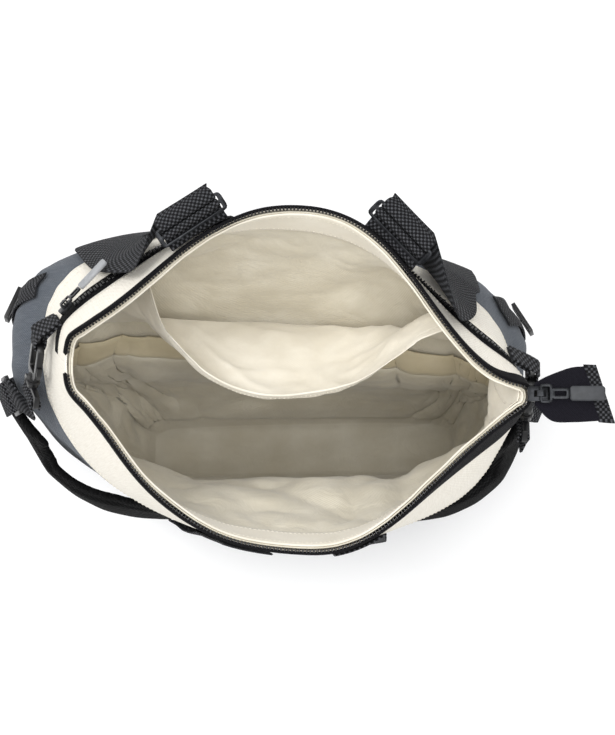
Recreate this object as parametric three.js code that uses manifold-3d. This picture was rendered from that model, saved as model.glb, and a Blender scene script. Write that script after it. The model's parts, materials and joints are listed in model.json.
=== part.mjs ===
// Backpack tote standing on its base with the zip mouth pulled open.
// Millimetres, Z up, front of the bag towards +Y, left end of the mouth towards -X.
import * as THREE from "three";
import Module from "manifold-3d";
import { mergeVertices } from "three/addons/utils/BufferGeometryUtils.js";

const wasm = await Module();
wasm.setup();

// Driving sizes of the bag
const bagHeight = 370;
const bodyWidth = 436;
const bodyDepth = 220;
const mouthLeft = [-181, 3];
const mouthRight = [166, -20];
const mouthFront = 128;
const mouthBack = 128;
const rimDrop = 14;
const seamLevel = 0.78;
const pocketZipLevel = 0.905;

// Fabric thicknesses and the clearances between layers
const canvas = 1.5;
const layerGap = 0.4;
const liningCloth = 1.2;
const webbing = 1.6;
const handleWidth = 48;
const loopWidth = 25;
const padWidth = 56;
const padThickness = 9;

const columnsPerHalf = 20;
const around = 2 * columnsPerHalf;

const bag = new THREE.Group();

// Colours and surface finish of each material
function cloth(color, roughness = 0.9) {
  return new THREE.MeshStandardMaterial({ color, roughness, metalness: 0 });
}
const slateCanvas = () => cloth(0x5d6670);
const creamCanvas = () => cloth(0xece7dc);
const beigeLining = () => cloth(0xbfb69c);
const beigeFacing = () => cloth(0xd8d0bc);
const blackWebbing = () => cloth(0x35363a);
const blackTape = () => cloth(0x1c1c20);
const blackMesh = () => cloth(0x141315);
const blackPlastic = () => cloth(0x18181a, 0.45);
const greyRubber = () => cloth(0x4a4d52, 0.6);
const darkMetal = () =>
  new THREE.MeshStandardMaterial({ color: 0x4b4d50, roughness: 0.35, metalness: 0.9 });

// Rows of a short table as objects with named columns
function table(columns, rows) {
  const names = columns.split(" ");
  return rows.map((row) => Object.fromEntries(names.map((name, i) => [name, row[i]])));
}

// Smooth curve through the rows of a table, read at a value of its key column
function readTable(rows, key, at, column) {
  let i = 0;
  while (i < rows.length - 2 && at > rows[i + 1][key]) i++;
  const slope = (k) => {
    const before = rows[Math.max(k - 1, 0)];
    const after = rows[Math.min(k + 1, rows.length - 1)];
    return (after[column] - before[column]) / (after[key] - before[key]);
  };
  const span = rows[i + 1][key] - rows[i][key];
  const t = Math.min(Math.max((at - rows[i][key]) / span, 0), 1);
  const stay = 2 * t ** 3 - 3 * t ** 2 + 1;
  const leave = (t ** 3 - 2 * t ** 2 + t) * span;
  const arrive = (t ** 3 - t ** 2) * span;
  return stay * rows[i][column] + (1 - stay) * rows[i + 1][column] + leave * slope(i) + arrive * slope(i + 1);
}

// Mouth outline: share along the mouth, and share of the pull-out of its front or back rim
const frontRim = table("along out", [
  [0, 0.14], [0.12, 0.39], [0.28, 0.8], [0.42, 1.01], [0.5, 1.04], [0.62, 0.99], [0.71, 0.8], [0.8, 0.46],
  [0.88, 0.19], [0.94, 0.085], [1, 0.05],
]);
const backRim = table("along out", [
  [0, 0.14], [0.07, 0.32], [0.165, 0.66], [0.3, 0.92], [0.4, 0.99], [0.5, 1.005], [0.6, 0.98], [0.7, 0.815],
  [0.8, 0.54], [0.9, 0.27], [1, 0.05],
]);

// Body sections as shares of the body's height, width and depth; lean turns a section about its middle,
// and the last four columns say how square it is at the front left, front right, back left and back right
const sectionColumns = "height shiftX shiftY width front back lean frontLeft frontRight backLeft backRight";
const shellSections = table(sectionColumns, [
  [0, -0.01, 0, 0.7, 0.32, 0.32, 0, 6, 6, 6, 6],
  [0.035, -0.01, 0, 0.75, 0.355, 0.355, 0, 5, 5, 5, 5],
  [0.2, -0.035, 0.03, 0.87, 0.41, 0.47, -0.01, 3.8, 3.4, 3.2, 3.4],
  [0.46, -0.065, 0.09, 0.96, 0.44, 0.54, -0.012, 3.2, 2.6, 2.4, 2.6],
  [0.65, -0.0735, 0.12, 0.972, 0.437, 0.565, -0.012, 3, 2.2, 2.05, 2.2],
  [0.78, -0.054, 0.075, 0.856, 0.445, 0.638, -0.07, 2.5, 2.2, 2.35, 2.35],
]);
const liningSections = table(sectionColumns, [
  [0.012, -0.01, -0.18, 0.64, 0.11, 0.12, 0.02, 6, 6, 6, 6],
  [0.2, -0.03, -0.09, 0.78, 0.2, 0.29, 0, 5, 5, 2.8, 3],
  [0.46, -0.06, -0.02, 0.89, 0.165, 0.375, -0.02, 5, 4, 2.3, 2.4],
  [0.62, -0.06, 0.05, 0.9, 0.3, 0.44, -0.03, 4, 3, 2, 2.1],
  [0.78, -0.054, 0.07, 0.82, 0.41, 0.58, -0.07, 2.5, 2.2, 2.15, 2.25],
]);

// Soft folds of the body cloth: middle and half size of each, in shares, and its depth in mm
const foldColumns = "place level halfLength halfHeight depth";
const shellFolds = table(foldColumns, [
  [0.1, 0.5, 0.03, 0.22, -5],
  [0.17, 0.44, 0.025, 0.2, 4],
  [0.87, 0.52, 0.03, 0.2, -5],
  [0.79, 0.46, 0.03, 0.18, 3],
  [1.14, 0.4, 0.04, 0.2, -4],
  [1.86, 0.38, 0.04, 0.2, -4],
  [0.5, 0.3, 0.12, 0.14, -3],
]);
const liningFolds = table(foldColumns, [
  [0.2, 0.32, 0.05, 0.22, -5],
  [0.36, 0.24, 0.05, 0.18, -6],
  [0.62, 0.26, 0.06, 0.18, -6],
  [0.82, 0.34, 0.05, 0.2, -5],
  [1.2, 0.5, 0.04, 0.22, -4],
  [1.5, 0.4, 0.09, 0.18, -4],
  [1.78, 0.5, 0.04, 0.22, -4],
]);

function power(value, exponent) {
  return Math.sign(value) * Math.abs(value) ** (2 / exponent);
}

// Point of one section ring at a place around: 0 to 1 along the front, 1 to 2 back along the back
function ringPoint(row, s) {
  const x = -Math.cos(Math.PI * s);
  const front = s <= 1;
  const frontSquare = x < 0 ? row.frontLeft : row.frontRight;
  const backSquare = x < 0 ? row.backLeft : row.backRight;
  const square = front ? frontSquare : backSquare;
  const out = power(Math.sin(Math.PI * s), square) * (front ? row.front : row.back);
  const run = bodyWidth * (row.width / 2) * power(x, square);
  return new THREE.Vector3(
    bodyWidth * row.shiftX + run,
    bodyDepth * (row.shiftY + out) + row.lean * run,
    bagHeight * row.height,
  );
}

function rimPoint(s) {
  const front = s <= 1;
  const along = (1 - Math.cos(Math.PI * s)) / 2;
  const out = readTable(front ? frontRim : backRim, "along", along, "out");
  const atEnd = Math.abs(Math.sin(Math.PI * s)) < 1e-6;
  const reach = atEnd ? 0 : out * (front ? mouthFront : -mouthBack);
  const x = mouthLeft[0] + (mouthRight[0] - mouthLeft[0]) * along;
  const y = mouthLeft[1] + (mouthRight[1] - mouthLeft[1]) * along + reach;
  return new THREE.Vector3(x, y, bagHeight - rimDrop * out);
}

// A closed surface of rows and columns; between its nodes it is flat, so layers at other offsets stay clear
function makeSurface(sections, levels, folds, rim) {
  const smoothRings = (s) => {
    const points = sections.map((row) => ringPoint(row, s));
    points.push(rim(s));
    return points.map(({ x, y, z }, i) => ({ level: i < sections.length ? sections[i].height : 1, x, y, z }));
  };
  const nodes = levels.map(() => []);
  for (let c = 0; c < around; c++) {
    const s = c / columnsPerHalf;
    const rings = smoothRings(s);
    levels.forEach((v, r) => {
      const at = ["x", "y", "z"].map((axis) => readTable(rings, "level", v, axis));
      nodes[r][c] = new THREE.Vector3(...at);
    });
  }
  const ring = (r, c) => nodes[r][(c + around) % around];
  const normalAt = (r, c) => {
    const up = ring(Math.min(r + 1, levels.length - 1), c).clone().sub(ring(Math.max(r - 1, 0), c));
    const along = ring(r, c + 1).clone().sub(ring(r, c - 1));
    return up.cross(along).normalize();
  };
  const dent = (s, v) =>
    folds.reduce((sum, fold) => {
      const far = ((s - fold.place) / fold.halfLength) ** 2 + ((v - fold.level) / fold.halfHeight) ** 2;
      return sum + fold.depth * Math.exp(-far);
    }, 0);
  const first = nodes.map((row, r) => row.map((p, c) => normalAt(r, c)));
  nodes.forEach((row, r) =>
    row.forEach((p, c) => p.addScaledVector(first[r][c], dent(c / columnsPerHalf, levels[r]))),
  );
  const normals = nodes.map((row, r) => row.map((p, c) => normalAt(r, c)));

  // Point at a place around, a level and an offset outwards, by straight reading between nodes
  const point = (s, v, offset = 0) => {
    const u = (((s * columnsPerHalf) % around) + around) % around;
    const c = Math.floor(u);
    let r = 0;
    while (r < levels.length - 2 && v > levels[r + 1]) r++;
    const fc = u - c;
    const fr = (v - levels[r]) / (levels[r + 1] - levels[r]);
    const at = new THREE.Vector3();
    const face = new THREE.Vector3();
    const corners = [
      [r, c, (1 - fr) * (1 - fc)], [r, c + 1, (1 - fr) * fc], [r + 1, c, fr * (1 - fc)], [r + 1, c + 1, fr * fc],
    ];
    corners.forEach(([i, j, weight]) => {
      at.addScaledVector(ring(i, j), weight);
      face.addScaledVector(normals[i][(j + around) % around], weight);
    });
    return at.addScaledVector(face.normalize(), offset);
  };
  return { levels, point };
}

const shellLevels = [0, 0.035, 0.11, 0.2, 0.33, 0.46, 0.58, 0.68, seamLevel, 0.84, 0.885, 0.925, 0.965, 1];
const liningLevels = [0.012, 0.1, 0.2, 0.33, 0.46, 0.62, 0.78, 0.84, 0.9, 1];
const shell = makeSurface(shellSections, shellLevels, shellFolds, rimPoint);
const liningInset = 2.5;
const liningDip = 1.4;
const liningRim = (s) => shell.point(s, 1, -liningInset).add(new THREE.Vector3(0, 0, -liningDip));
const liner = makeSurface(liningSections, liningLevels, liningFolds, liningRim);

// Closed solid between an inner and an outer grid of points; a ring closes on itself along the columns
function grid(inner, outer, closed = false) {
  const rows = outer.length;
  const columns = outer[0].length;
  const points = [...outer.flat(), ...inner.flat()];
  const faces = [];
  const out = (r, c) => r * columns + (c % columns);
  const inn = (r, c) => rows * columns + out(r, c);
  const quad = (a, b, c, d) => faces.push([a, b, c], [a, c, d]);
  const spans = closed ? columns : columns - 1;
  for (let r = 0; r < rows - 1; r++)
    for (let c = 0; c < spans; c++) {
      quad(out(r, c), out(r + 1, c), out(r + 1, c + 1), out(r, c + 1));
      quad(inn(r, c), inn(r, c + 1), inn(r + 1, c + 1), inn(r + 1, c));
    }
  for (let c = 0; c < spans; c++) {
    quad(out(0, c), out(0, c + 1), inn(0, c + 1), inn(0, c));
    quad(out(rows - 1, c + 1), out(rows - 1, c), inn(rows - 1, c), inn(rows - 1, c + 1));
  }
  if (!closed)
    for (let r = 0; r < rows - 1; r++) {
      quad(out(r + 1, 0), out(r, 0), inn(r, 0), inn(r + 1, 0));
      quad(out(r, columns - 1), out(r + 1, columns - 1), inn(r + 1, columns - 1), inn(r, columns - 1));
    }
  return { points, faces };
}

function geometryOf({ points, faces }) {
  let volume = 0;
  faces.forEach(([a, b, c]) => (volume += points[a].dot(points[b].clone().cross(points[c]))));
  const index = volume < 0 ? faces.map(([a, b, c]) => [a, c, b]) : faces;
  const geometry = new THREE.BufferGeometry().setFromPoints(points);
  geometry.setIndex(index.flat());
  geometry.computeVertexNormals();
  return geometry;
}

function add(name, geometry, material, parent = bag) {
  const mesh = new THREE.Mesh(geometry, material);
  mesh.name = name;
  parent.add(mesh);
  return mesh;
}

function solidOf(geometry) {
  const bare = geometry.clone();
  bare.deleteAttribute("normal");
  bare.deleteAttribute("uv");
  const merged = mergeVertices(bare, 1e-4);
  const vertProperties = new Float32Array(merged.attributes.position.array);
  const triVerts = new Uint32Array(merged.index.array);
  return new wasm.Manifold(new wasm.Mesh({ numProp: 3, vertProperties, triVerts }));
}

function fromSolid(solid) {
  const mesh = solid.getMesh();
  const geometry = new THREE.BufferGeometry();
  geometry.setAttribute("position", new THREE.BufferAttribute(new Float32Array(mesh.vertProperties), 3));
  geometry.setIndex(new THREE.BufferAttribute(new Uint32Array(mesh.triVerts), 1));
  geometry.computeVertexNormals();
  return geometry;
}

function join(...geometries) {
  const solids = geometries.map(solidOf);
  return fromSolid(solids.slice(1).reduce((sum, next) => sum.add(next), solids[0]));
}

// Levels of a surface between two limits, with the limits themselves
function levelsBetween(surface, low, high) {
  return [low, ...surface.levels.filter((v) => v > low + 0.008 && v < high - 0.008), high];
}

function columnsBetween(start, end) {
  const inside = [];
  for (let c = Math.ceil(start * columnsPerHalf + 0.25); c < end * columnsPerHalf - 0.2; c++)
    inside.push(c / columnsPerHalf);
  return [start, ...inside, end];
}

// Cloth panel that follows a surface between two places around and two levels
function panel(name, surface, [start, end], [low, high], offset, thickness, material, bulge = null) {
  const closed = end - start > 1.99;
  const columns = columnsBetween(start, end);
  if (closed) columns.pop();
  const levels = levelsBetween(surface, low, high);
  const layer = (depth) =>
    levels.map((v) =>
      columns.map((s) => {
        const swell = bulge ? bulge((s - start) / (end - start), (v - low) / (high - low)) : 0;
        return surface.point(s, v, depth + swell);
      }),
    );
  return add(name, geometryOf(grid(layer(offset - thickness), layer(offset), closed)), material);
}

// Slate body: one cup of canvas walls with a flat base
function lowerBody() {
  const levels = levelsBetween(shell, 0, seamLevel);
  const columns = columnsBetween(0, 2).slice(0, -1);
  const outer = levels.map((v) => columns.map((s) => shell.point(s, v, 0)));
  const inner = levels.map((v) => columns.map((s) => shell.point(s, v, -canvas)));
  inner[0].forEach((p) => (p.z = 2 * canvas));
  outer[0].forEach((p) => (p.z = 0));
  const { points, faces } = grid(inner, outer, true);
  const kept = faces.filter((face) => !isFoot(face, columns.length, levels.length));
  closeFloor(points, kept, 0, columns.length, true);
  closeFloor(points, kept, levels.length * columns.length, columns.length, false);
  add("lower_body", geometryOf({ points, faces: kept }), slateCanvas());
}

// True for the strip that joins the first outer row to the first inner row
function isFoot(face, columns, rows) {
  const innerStart = rows * columns;
  return face.every((i) => i < columns || (i >= innerStart && i < innerStart + columns));
}

function closeFloor(points, faces, first, count, faceDown) {
  const middle = points.length;
  const centre = new THREE.Vector3();
  for (let c = 0; c < count; c++) centre.addScaledVector(points[first + c], 1 / count);
  points.push(centre);
  for (let c = 0; c < count; c++) {
    const a = first + c;
    const b = first + ((c + 1) % count);
    faces.push(faceDown ? [middle, a, b] : [middle, b, a]);
  }
}

// Loose lining bag with its own narrow floor
function liningBag() {
  const levels = liningLevels;
  const columns = columnsBetween(0, 2).slice(0, -1);
  const outer = levels.map((v) => columns.map((s) => liner.point(s, v, 0)));
  const inner = levels.map((v) => columns.map((s) => liner.point(s, v, -liningCloth)));
  inner[0].forEach((p) => (p.z = bagHeight * levels[0] + liningCloth));
  outer[0].forEach((p) => (p.z = bagHeight * levels[0]));
  const { points, faces } = grid(inner, outer, true);
  const kept = faces.filter((face) => !isFoot(face, columns.length, levels.length));
  closeFloor(points, kept, 0, columns.length, true);
  closeFloor(points, kept, levels.length * columns.length, columns.length, false);
  add("lining", geometryOf({ points, faces: kept }), beigeLining());
}

const sideGap = 0.0035;
const levelGap = 0.0018;
const zipBand = 0.02;
const frontSpan = [sideGap, 1 - sideGap];
const backSpan = [1 + sideGap, 2 - sideGap];

function upperPanels() {
  const bottom = seamLevel + levelGap;
  const slotLow = pocketZipLevel - zipBand;
  const slotHigh = pocketZipLevel + zipBand;
  panel("front_lower_strip", shell, frontSpan, [bottom, slotLow], 0, canvas, creamCanvas());
  panel("front_top_strip", shell, frontSpan, [slotHigh, 1], 0, canvas, creamCanvas());
  panel("back_upper_panel", shell, backSpan, [bottom, 1], 0, canvas, creamCanvas());
  const tapeSpan = [slotLow + levelGap, slotHigh - levelGap];
  panel("pocket_zip_tape", shell, frontSpan, tapeSpan, -layerGap, 1, blackTape());
  const chainHalf = 0.0085;
  const chainSpan = [pocketZipLevel - chainHalf, pocketZipLevel + chainHalf];
  panel("pocket_zip_chain", shell, [0.13, 0.885], chainSpan, 1.6, 1.6, blackPlastic());
}

// Bands inside the mouth and the slip pocket on the front lining wall
function innerPanels() {
  const inside = -liningCloth - layerGap;
  panel("front_facing", liner, frontSpan, [0.9, 1], inside, canvas, beigeFacing());
  panel("back_facing", liner, backSpan, [0.9, 1], inside, canvas, beigeFacing());
  const slipSpan = [0.1, 0.9];
  const slipLevels = [0.06, 0.47];
  const slack = (a, b) => -3 * Math.sin(Math.PI * a) * b;
  panel("slip_pocket", liner, slipSpan, slipLevels, inside - 0.4, liningCloth, beigeLining(), slack);
  const hemLevels = [0.475, 0.52];
  const hemSlack = (a) => -3 * Math.sin(Math.PI * a);
  panel("slip_pocket_hem", liner, slipSpan, hemLevels, inside - 0.8, 2, beigeFacing(), hemSlack);
}

// Open drop pocket: shares of its width, its gape from the front lining and its drop below the rim
const pouchStart = 0.29;
const pouchEnd = 0.78;
const pouchGape = 126;
const pouchHem = 0.885;
const pouchFoot = 0.56;
const pouchAcross = table("across gape wave", [
  [0, 0, 0], [0.06, 0.4, 0.4], [0.12, 0.6, 1], [0.22, 0.84, -1], [0.36, 1, 0.6], [0.5, 0.97, -0.8], [0.64, 0.82, 0.8],
  [0.76, 0.53, -0.8], [0.86, 0.26, 0.5], [1, 0, 0],
]);
const pouchUp = table("up gape", [[0, 0.03], [0.3, 0.3], [0.6, 0.72], [0.86, 0.98], [1, 1]]);

function pouchPoint(a, b, offset) {
  const s = pouchStart + (pouchEnd - pouchStart) * a;
  const v = pouchFoot + (pouchHem - pouchFoot) * b;
  const wall = liner.point(s, v, -liningCloth - layerGap - offset);
  const gape = pouchGape * readTable(pouchAcross, "across", a, "gape") * readTable(pouchUp, "up", b, "gape");
  const wave = 4 * readTable(pouchAcross, "across", a, "wave") * b;
  return wall.add(new THREE.Vector3(0, -gape, wave));
}

function dropPocket() {
  const columns = 18;
  const part = (name, [low, high], rows, [near, far], material) => {
    const layer = (offset) =>
      Array.from({ length: rows + 1 }, (_, r) =>
        Array.from({ length: columns + 1 }, (_, c) => pouchPoint(c / columns, low + ((high - low) * r) / rows, offset)),
      );
    add(name, geometryOf(grid(layer(near), layer(far))), material);
  };
  part("drop_pocket", [0, 0.93], 6, [0.6, 0.6 + liningCloth], beigeFacing());
  part("drop_pocket_hem", [0.938, 1], 1, [0.3, 2.3], beigeFacing());
}

// Main zip: a tape lies outside each rim edge, a chain stands on the rim
function mainZip() {
  const tapeLow = 0.962;
  panel("main_zip_front_tape", shell, [0.02, 0.985], [tapeLow, 1], 1.3, 0.9, blackTape());
  panel("main_zip_back_tape", shell, [1.015, 1.98], [tapeLow, 1], 1.3, 0.9, blackTape());
  const chain = (name, [start, end]) => {
    const columns = columnsBetween(start, end);
    const layer = (offset) =>
      [0.4, 3].map((up) => columns.map((s) => shell.point(s, 1, offset).add(new THREE.Vector3(0, 0, up))));
    add(name, geometryOf(grid(layer(-4.6), layer(1.2))), blackPlastic());
  };
  chain("main_zip_front_chain", [0.02, 0.975]);
  chain("main_zip_back_chain", [1.025, 1.98]);
}

// Place around at which a surface reaches an x, on the front or the back
function placeAt(surface, x, v, front) {
  let low = front ? 0.02 : 1.98;
  let high = front ? 0.98 : 1.02;
  for (let i = 0; i < 30; i++) {
    const middle = (low + high) / 2;
    if (surface.point(middle, v).x < x) low = middle;
    else high = middle;
  }
  return (low + high) / 2;
}

// Stations of a strip lying on the shell: rows are place around, level and offset of its underside
function laidStations(rows, width, steps) {
  const path = new THREE.CatmullRomCurve3(rows.map((r) => new THREE.Vector3(...r)), false, "centripetal");
  const step = 0.01;
  return Array.from({ length: steps + 1 }, (_, i) => {
    const { x: s, y: v, z: offset } = path.getPoint(i / steps);
    const ahead = path.getPoint(Math.min(i / steps + step, 1));
    const behind = path.getPoint(Math.max(i / steps - step, 0));
    const acrossS = shell.point(s + step, v).sub(shell.point(s - step, v)).divideScalar(2 * step);
    const acrossV = shell.point(s, v + step).sub(shell.point(s, v - step)).divideScalar(2 * step);
    const forward = shell.point(ahead.x, ahead.y).sub(shell.point(behind.x, behind.y)).normalize();
    const out = new THREE.Vector3().crossVectors(acrossV, acrossS).normalize();
    const side = new THREE.Vector3().crossVectors(forward, out).normalize();
    const perS = side.dot(acrossS) / acrossS.lengthSq();
    const perV = side.dot(acrossV) / acrossV.lengthSq();
    return (share, lift) =>
      shell.point(s + share * width * perS, Math.min(v + share * width * perV, 0.999), offset + lift);
  });
}

// Metal slider bar: a frame with one cross bar, lying in its own xy plane, long side along x
function sliderBar(name, matrix) {
  const length = handleWidth + 10;
  const height = 15;
  const slotLength = handleWidth + 3;
  const slotHeight = 4.2;
  const thickness = 3;
  const shape = new THREE.Shape();
  roundRect(shape, 0, 0, length, height, 4);
  [-1, 1].forEach((side) => {
    const slot = new THREE.Path();
    roundRect(slot, 0, side * 3.3, slotLength, slotHeight, 1);
    shape.holes.push(slot);
  });
  const geometry = new THREE.ExtrudeGeometry(shape, { depth: thickness, bevelEnabled: false, curveSegments: 3 });
  geometry.translate(0, 0, -thickness / 2);
  const mesh = add(name, geometry, darkMetal());
  mesh.applyMatrix4(matrix);
}

function roundRect(path, x, y, width, height, radius) {
  const right = x + width / 2;
  const left = x - width / 2;
  const top = y + height / 2;
  const bottom = y - height / 2;
  path.moveTo(left + radius, bottom);
  path.lineTo(right - radius, bottom);
  path.quadraticCurveTo(right, bottom, right, bottom + radius);
  path.lineTo(right, top - radius);
  path.quadraticCurveTo(right, top, right - radius, top);
  path.lineTo(left + radius, top);
  path.quadraticCurveTo(left, top, left, top - radius);
  path.lineTo(left, bottom + radius);
  path.quadraticCurveTo(left, bottom, left + radius, bottom);
}

lowerBody();
liningBag();
upperPanels();
innerPanels();
dropPocket();
mainZip();

// A flexible strip made station by station; each station gives a point for a share across and a lift
function stationStrip(name, stations, thickness, sections, material) {
  const layer = (lift) =>
    Array.from({ length: sections + 1 }, (_, k) => stations.map((station) => station(k / sections - 0.5, lift)));
  return add(name, geometryOf(grid(layer(0), layer(thickness))), material);
}

function layStrip(name, rows, width, thickness, material, steps, sections = 2) {
  return stationStrip(name, laidStations(rows, width, steps), thickness, sections, material);
}

// Station across a vertical leg that lies on the shell
const legThickness = 1.2;

function legStation(x, v, offset, width) {
  const s = placeAt(shell, x, v, true);
  const perPlace = shell.point(s + 0.02, v).distanceTo(shell.point(s - 0.02, v)) / 0.04;
  return (share, lift) => shell.point(s + (share * width) / perPlace, v, offset + legThickness - lift);
}

// Station of a strip in the own frame of a hard piece: y is its way, x its width, z its height
function frameStation(matrix, way, height, wayOut, heightOut, width, turned = 1) {
  return (share, lift) =>
    new THREE.Vector3(turned * share * width, way + wayOut * lift, height + heightOut * lift).applyMatrix4(matrix);
}

// Path of a webbing that turns over a bar: way, height, and the side its outer face looks to
function turnStations(matrix, path, thickness, width, turned = 1) {
  return path.map(([way, height, share = 1], i) => {
    const [beforeWay, beforeHeight] = path[Math.max(i - 1, 0)];
    const [afterWay, afterHeight] = path[Math.min(i + 1, path.length - 1)];
    const length = Math.hypot(afterWay - beforeWay, afterHeight - beforeHeight);
    const wayOut = -(afterHeight - beforeHeight) / length;
    const heightOut = (afterWay - beforeWay) / length;
    const half = thickness / 2;
    return frameStation(matrix, way - wayOut * half, height - heightOut * half, wayOut, heightOut, width * share, turned);
  });
}

function frameMatrix(origin, xWay, zWay) {
  const x = xWay.clone().normalize();
  const z = zWay.clone().addScaledVector(x, -zWay.dot(x)).normalize();
  const y = new THREE.Vector3().crossVectors(z, x);
  return new THREE.Matrix4().makeBasis(x, y, z).setPosition(origin);
}

// Front handle: sewn legs rise through metal slider bars, and the loop falls over in front of the bag
const barOut = 13;
const barRise = 7;
const barTilt = 0.35;
const legLevels = [[0.79, 0.8], [0.84, 1], [0.87, 1.8], [0.89, 2.5], [0.925, 2.7], [0.965, 2.6], [0.995, 3]];
const legTurn = [[-2.3, -4], [-2.3, -1], [-2.2, 1.9], [0, 3.2], [2.2, 1.9], [2.3, -1], [2.3, -7]];
const loopTurn = [[4.3, -11], [4.3, -4], [4.3, 0], [4.7, 2], [6.5, 2.9], [8.6, 2.4], [11.5, 0.4], [14, -3], [15, -8]];
const handleFall = [
  [-116, 0.94, 11], [-140, 0.88, 7], [-154, 0.79, 5], [-150, 0.67, 4], [-118, 0.56, 4], [-62, 0.5, 4], [-10, 0.485, 4],
  [42, 0.5, 4], [92, 0.56, 4], [122, 0.67, 4], [124, 0.79, 5], [116, 0.88, 7], [96, 0.94, 11],
];

function barFrame(x) {
  const s = placeAt(shell, x, 1, true);
  const along = shell.point(s + 0.03, 1).sub(shell.point(s - 0.03, 1)).setZ(0).normalize();
  const out = new THREE.Vector3(-along.y, along.x, 0);
  const up = new THREE.Vector3(0, 0, 1);
  const origin = shell.point(s, 1).addScaledVector(out, barOut).addScaledVector(up, barRise);
  const face = up.clone().multiplyScalar(Math.cos(barTilt)).addScaledVector(out, -Math.sin(barTilt));
  return { x, matrix: frameMatrix(origin, along, face) };
}

function frontHandle() {
  const left = barFrame(-80);
  const right = barFrame(60);
  [["left", left], ["right", right]].forEach(([side, { x, matrix }]) => {
    sliderBar("handle_bar_" + side, matrix);
    const sewn = legLevels.map(([v, offset]) => legStation(x, v, offset, handleWidth));
    const turn = turnStations(matrix, legTurn, legThickness, handleWidth);
    stationStrip("front_handle_leg_" + side, [...sewn, ...turn], legThickness, 4, blackWebbing());
  });
  const thickness = legThickness;
  const first = turnStations(left.matrix, loopTurn, thickness, handleWidth, 1);
  const last = turnStations(right.matrix, loopTurn, thickness, handleWidth, -1).reverse();
  const fall = handleFall.map(([x, v, offset]) => [placeAt(shell, x, v, true), v, offset]);
  const middle = laidStations(fall, handleWidth, 2 * (fall.length - 1));
  stationStrip("front_handle_loop", [...first, ...middle, ...last], thickness, 2, blackWebbing());
}

// Plain back handle: hangs flat against the back, over the padded straps
function backHandle() {
  const sLeft = placeAt(shell, -56, 0.9, false);
  const sRight = placeAt(shell, 38, 0.9, false);
  const middle = (sLeft + sRight) / 2;
  const lap = 17;
  const rows = [
    [sLeft, 0.985, 3], [sLeft, 0.965, 3.2], [sLeft, 0.9, 4], [sLeft + 0.003, 0.84, 8], [sLeft + 0.006, 0.77, lap + 1.5],
    [sLeft + 0.012, 0.71, lap + 5.5],
    [sLeft + 0.012, 0.62, lap + 11], [sLeft - 0.02, 0.52, lap + 9], [middle, 0.48, lap + 6], [sRight + 0.02, 0.52, lap + 9],
    [sRight - 0.012, 0.62, lap + 12], [sRight - 0.012, 0.71, lap + 7],
    [sRight - 0.006, 0.77, lap + 3], [sRight - 0.003, 0.84, 10], [sRight, 0.9, 4], [sRight, 0.965, 3.2], [sRight, 0.985, 3],
  ];
  layStrip("back_handle", rows, handleWidth - 8, webbing, blackWebbing(), 24);
}

// Left place on the bag, or its mirror on the right
function onSide(side, s) {
  return side === "left" ? s : 1 - s;
}

// Shoulder strap: padded part, ladder lock, adjusting webbing, swivel hook and the side loop it is clipped to
const padPath = [
  [1.56, 0.8, 2.2], [1.57, 0.74, 3.2], [1.6, 0.64, 7], [1.65, 0.54, 12], [1.72, 0.49, 15], [1.79, 0.49, 13],
  [1.85, 0.545, 6.2], [1.88, 0.608, 3.2],
];

function ringPlate(width, length, holes, thickness) {
  const shape = new THREE.Shape();
  roundRect(shape, 0, 0, width, length, 2);
  holes.forEach(([y, holeWidth, holeLength]) => {
    const hole = new THREE.Path();
    roundRect(hole, 0, y, holeWidth, holeLength, 0.8);
    shape.holes.push(hole);
  });
  const geometry = new THREE.ExtrudeGeometry(shape, { depth: thickness, bevelEnabled: false, curveSegments: 2 });
  return geometry.translate(0, 0, -thickness / 2);
}

function hookGeometry() {
  const eye = ringPlate(loopWidth + 9, 12, [[0, loopWidth + 2, 5.4]], 4).translate(0, -27, 0);
  const barrel = new THREE.CylinderGeometry(4.6, 4.6, 11, 10).translate(0, -16.5, 0);
  const collar = new THREE.CylinderGeometry(5.8, 5.8, 2.4, 10).translate(0, -17, 0);
  const ring = new THREE.Shape();
  roundRect(ring, 0, 4, 22, 34, 9);
  const hole = new THREE.Path();
  roundRect(hole, 0, 5, 13.4, 23, 3);
  ring.holes.push(hole);
  const snap = new THREE.ExtrudeGeometry(ring, { depth: 5, bevelEnabled: false, curveSegments: 5 });
  snap.translate(0, 0, -2.5);
  const lever = new THREE.BoxGeometry(4, 7, 4).translate(11, -1, 0);
  return join(eye, barrel, collar, snap, lever);
}

// Frame of a hard piece on the shell, its y way pointing to a place ahead
function frameOn(side, s, v, offset, sAhead, vAhead) {
  const here = shell.point(onSide(side, s), v, offset);
  const ahead = shell.point(onSide(side, sAhead), vAhead, offset);
  const way = ahead.sub(here).normalize();
  const out = shell.point(onSide(side, s), v, offset + 1).sub(here).normalize();
  return frameMatrix(here, new THREE.Vector3().crossVectors(way, out), out);
}

function hookFrame(side) {
  return frameOn(side, 1.975, 0.83, 10, 2.01, 0.865);
}

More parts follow.
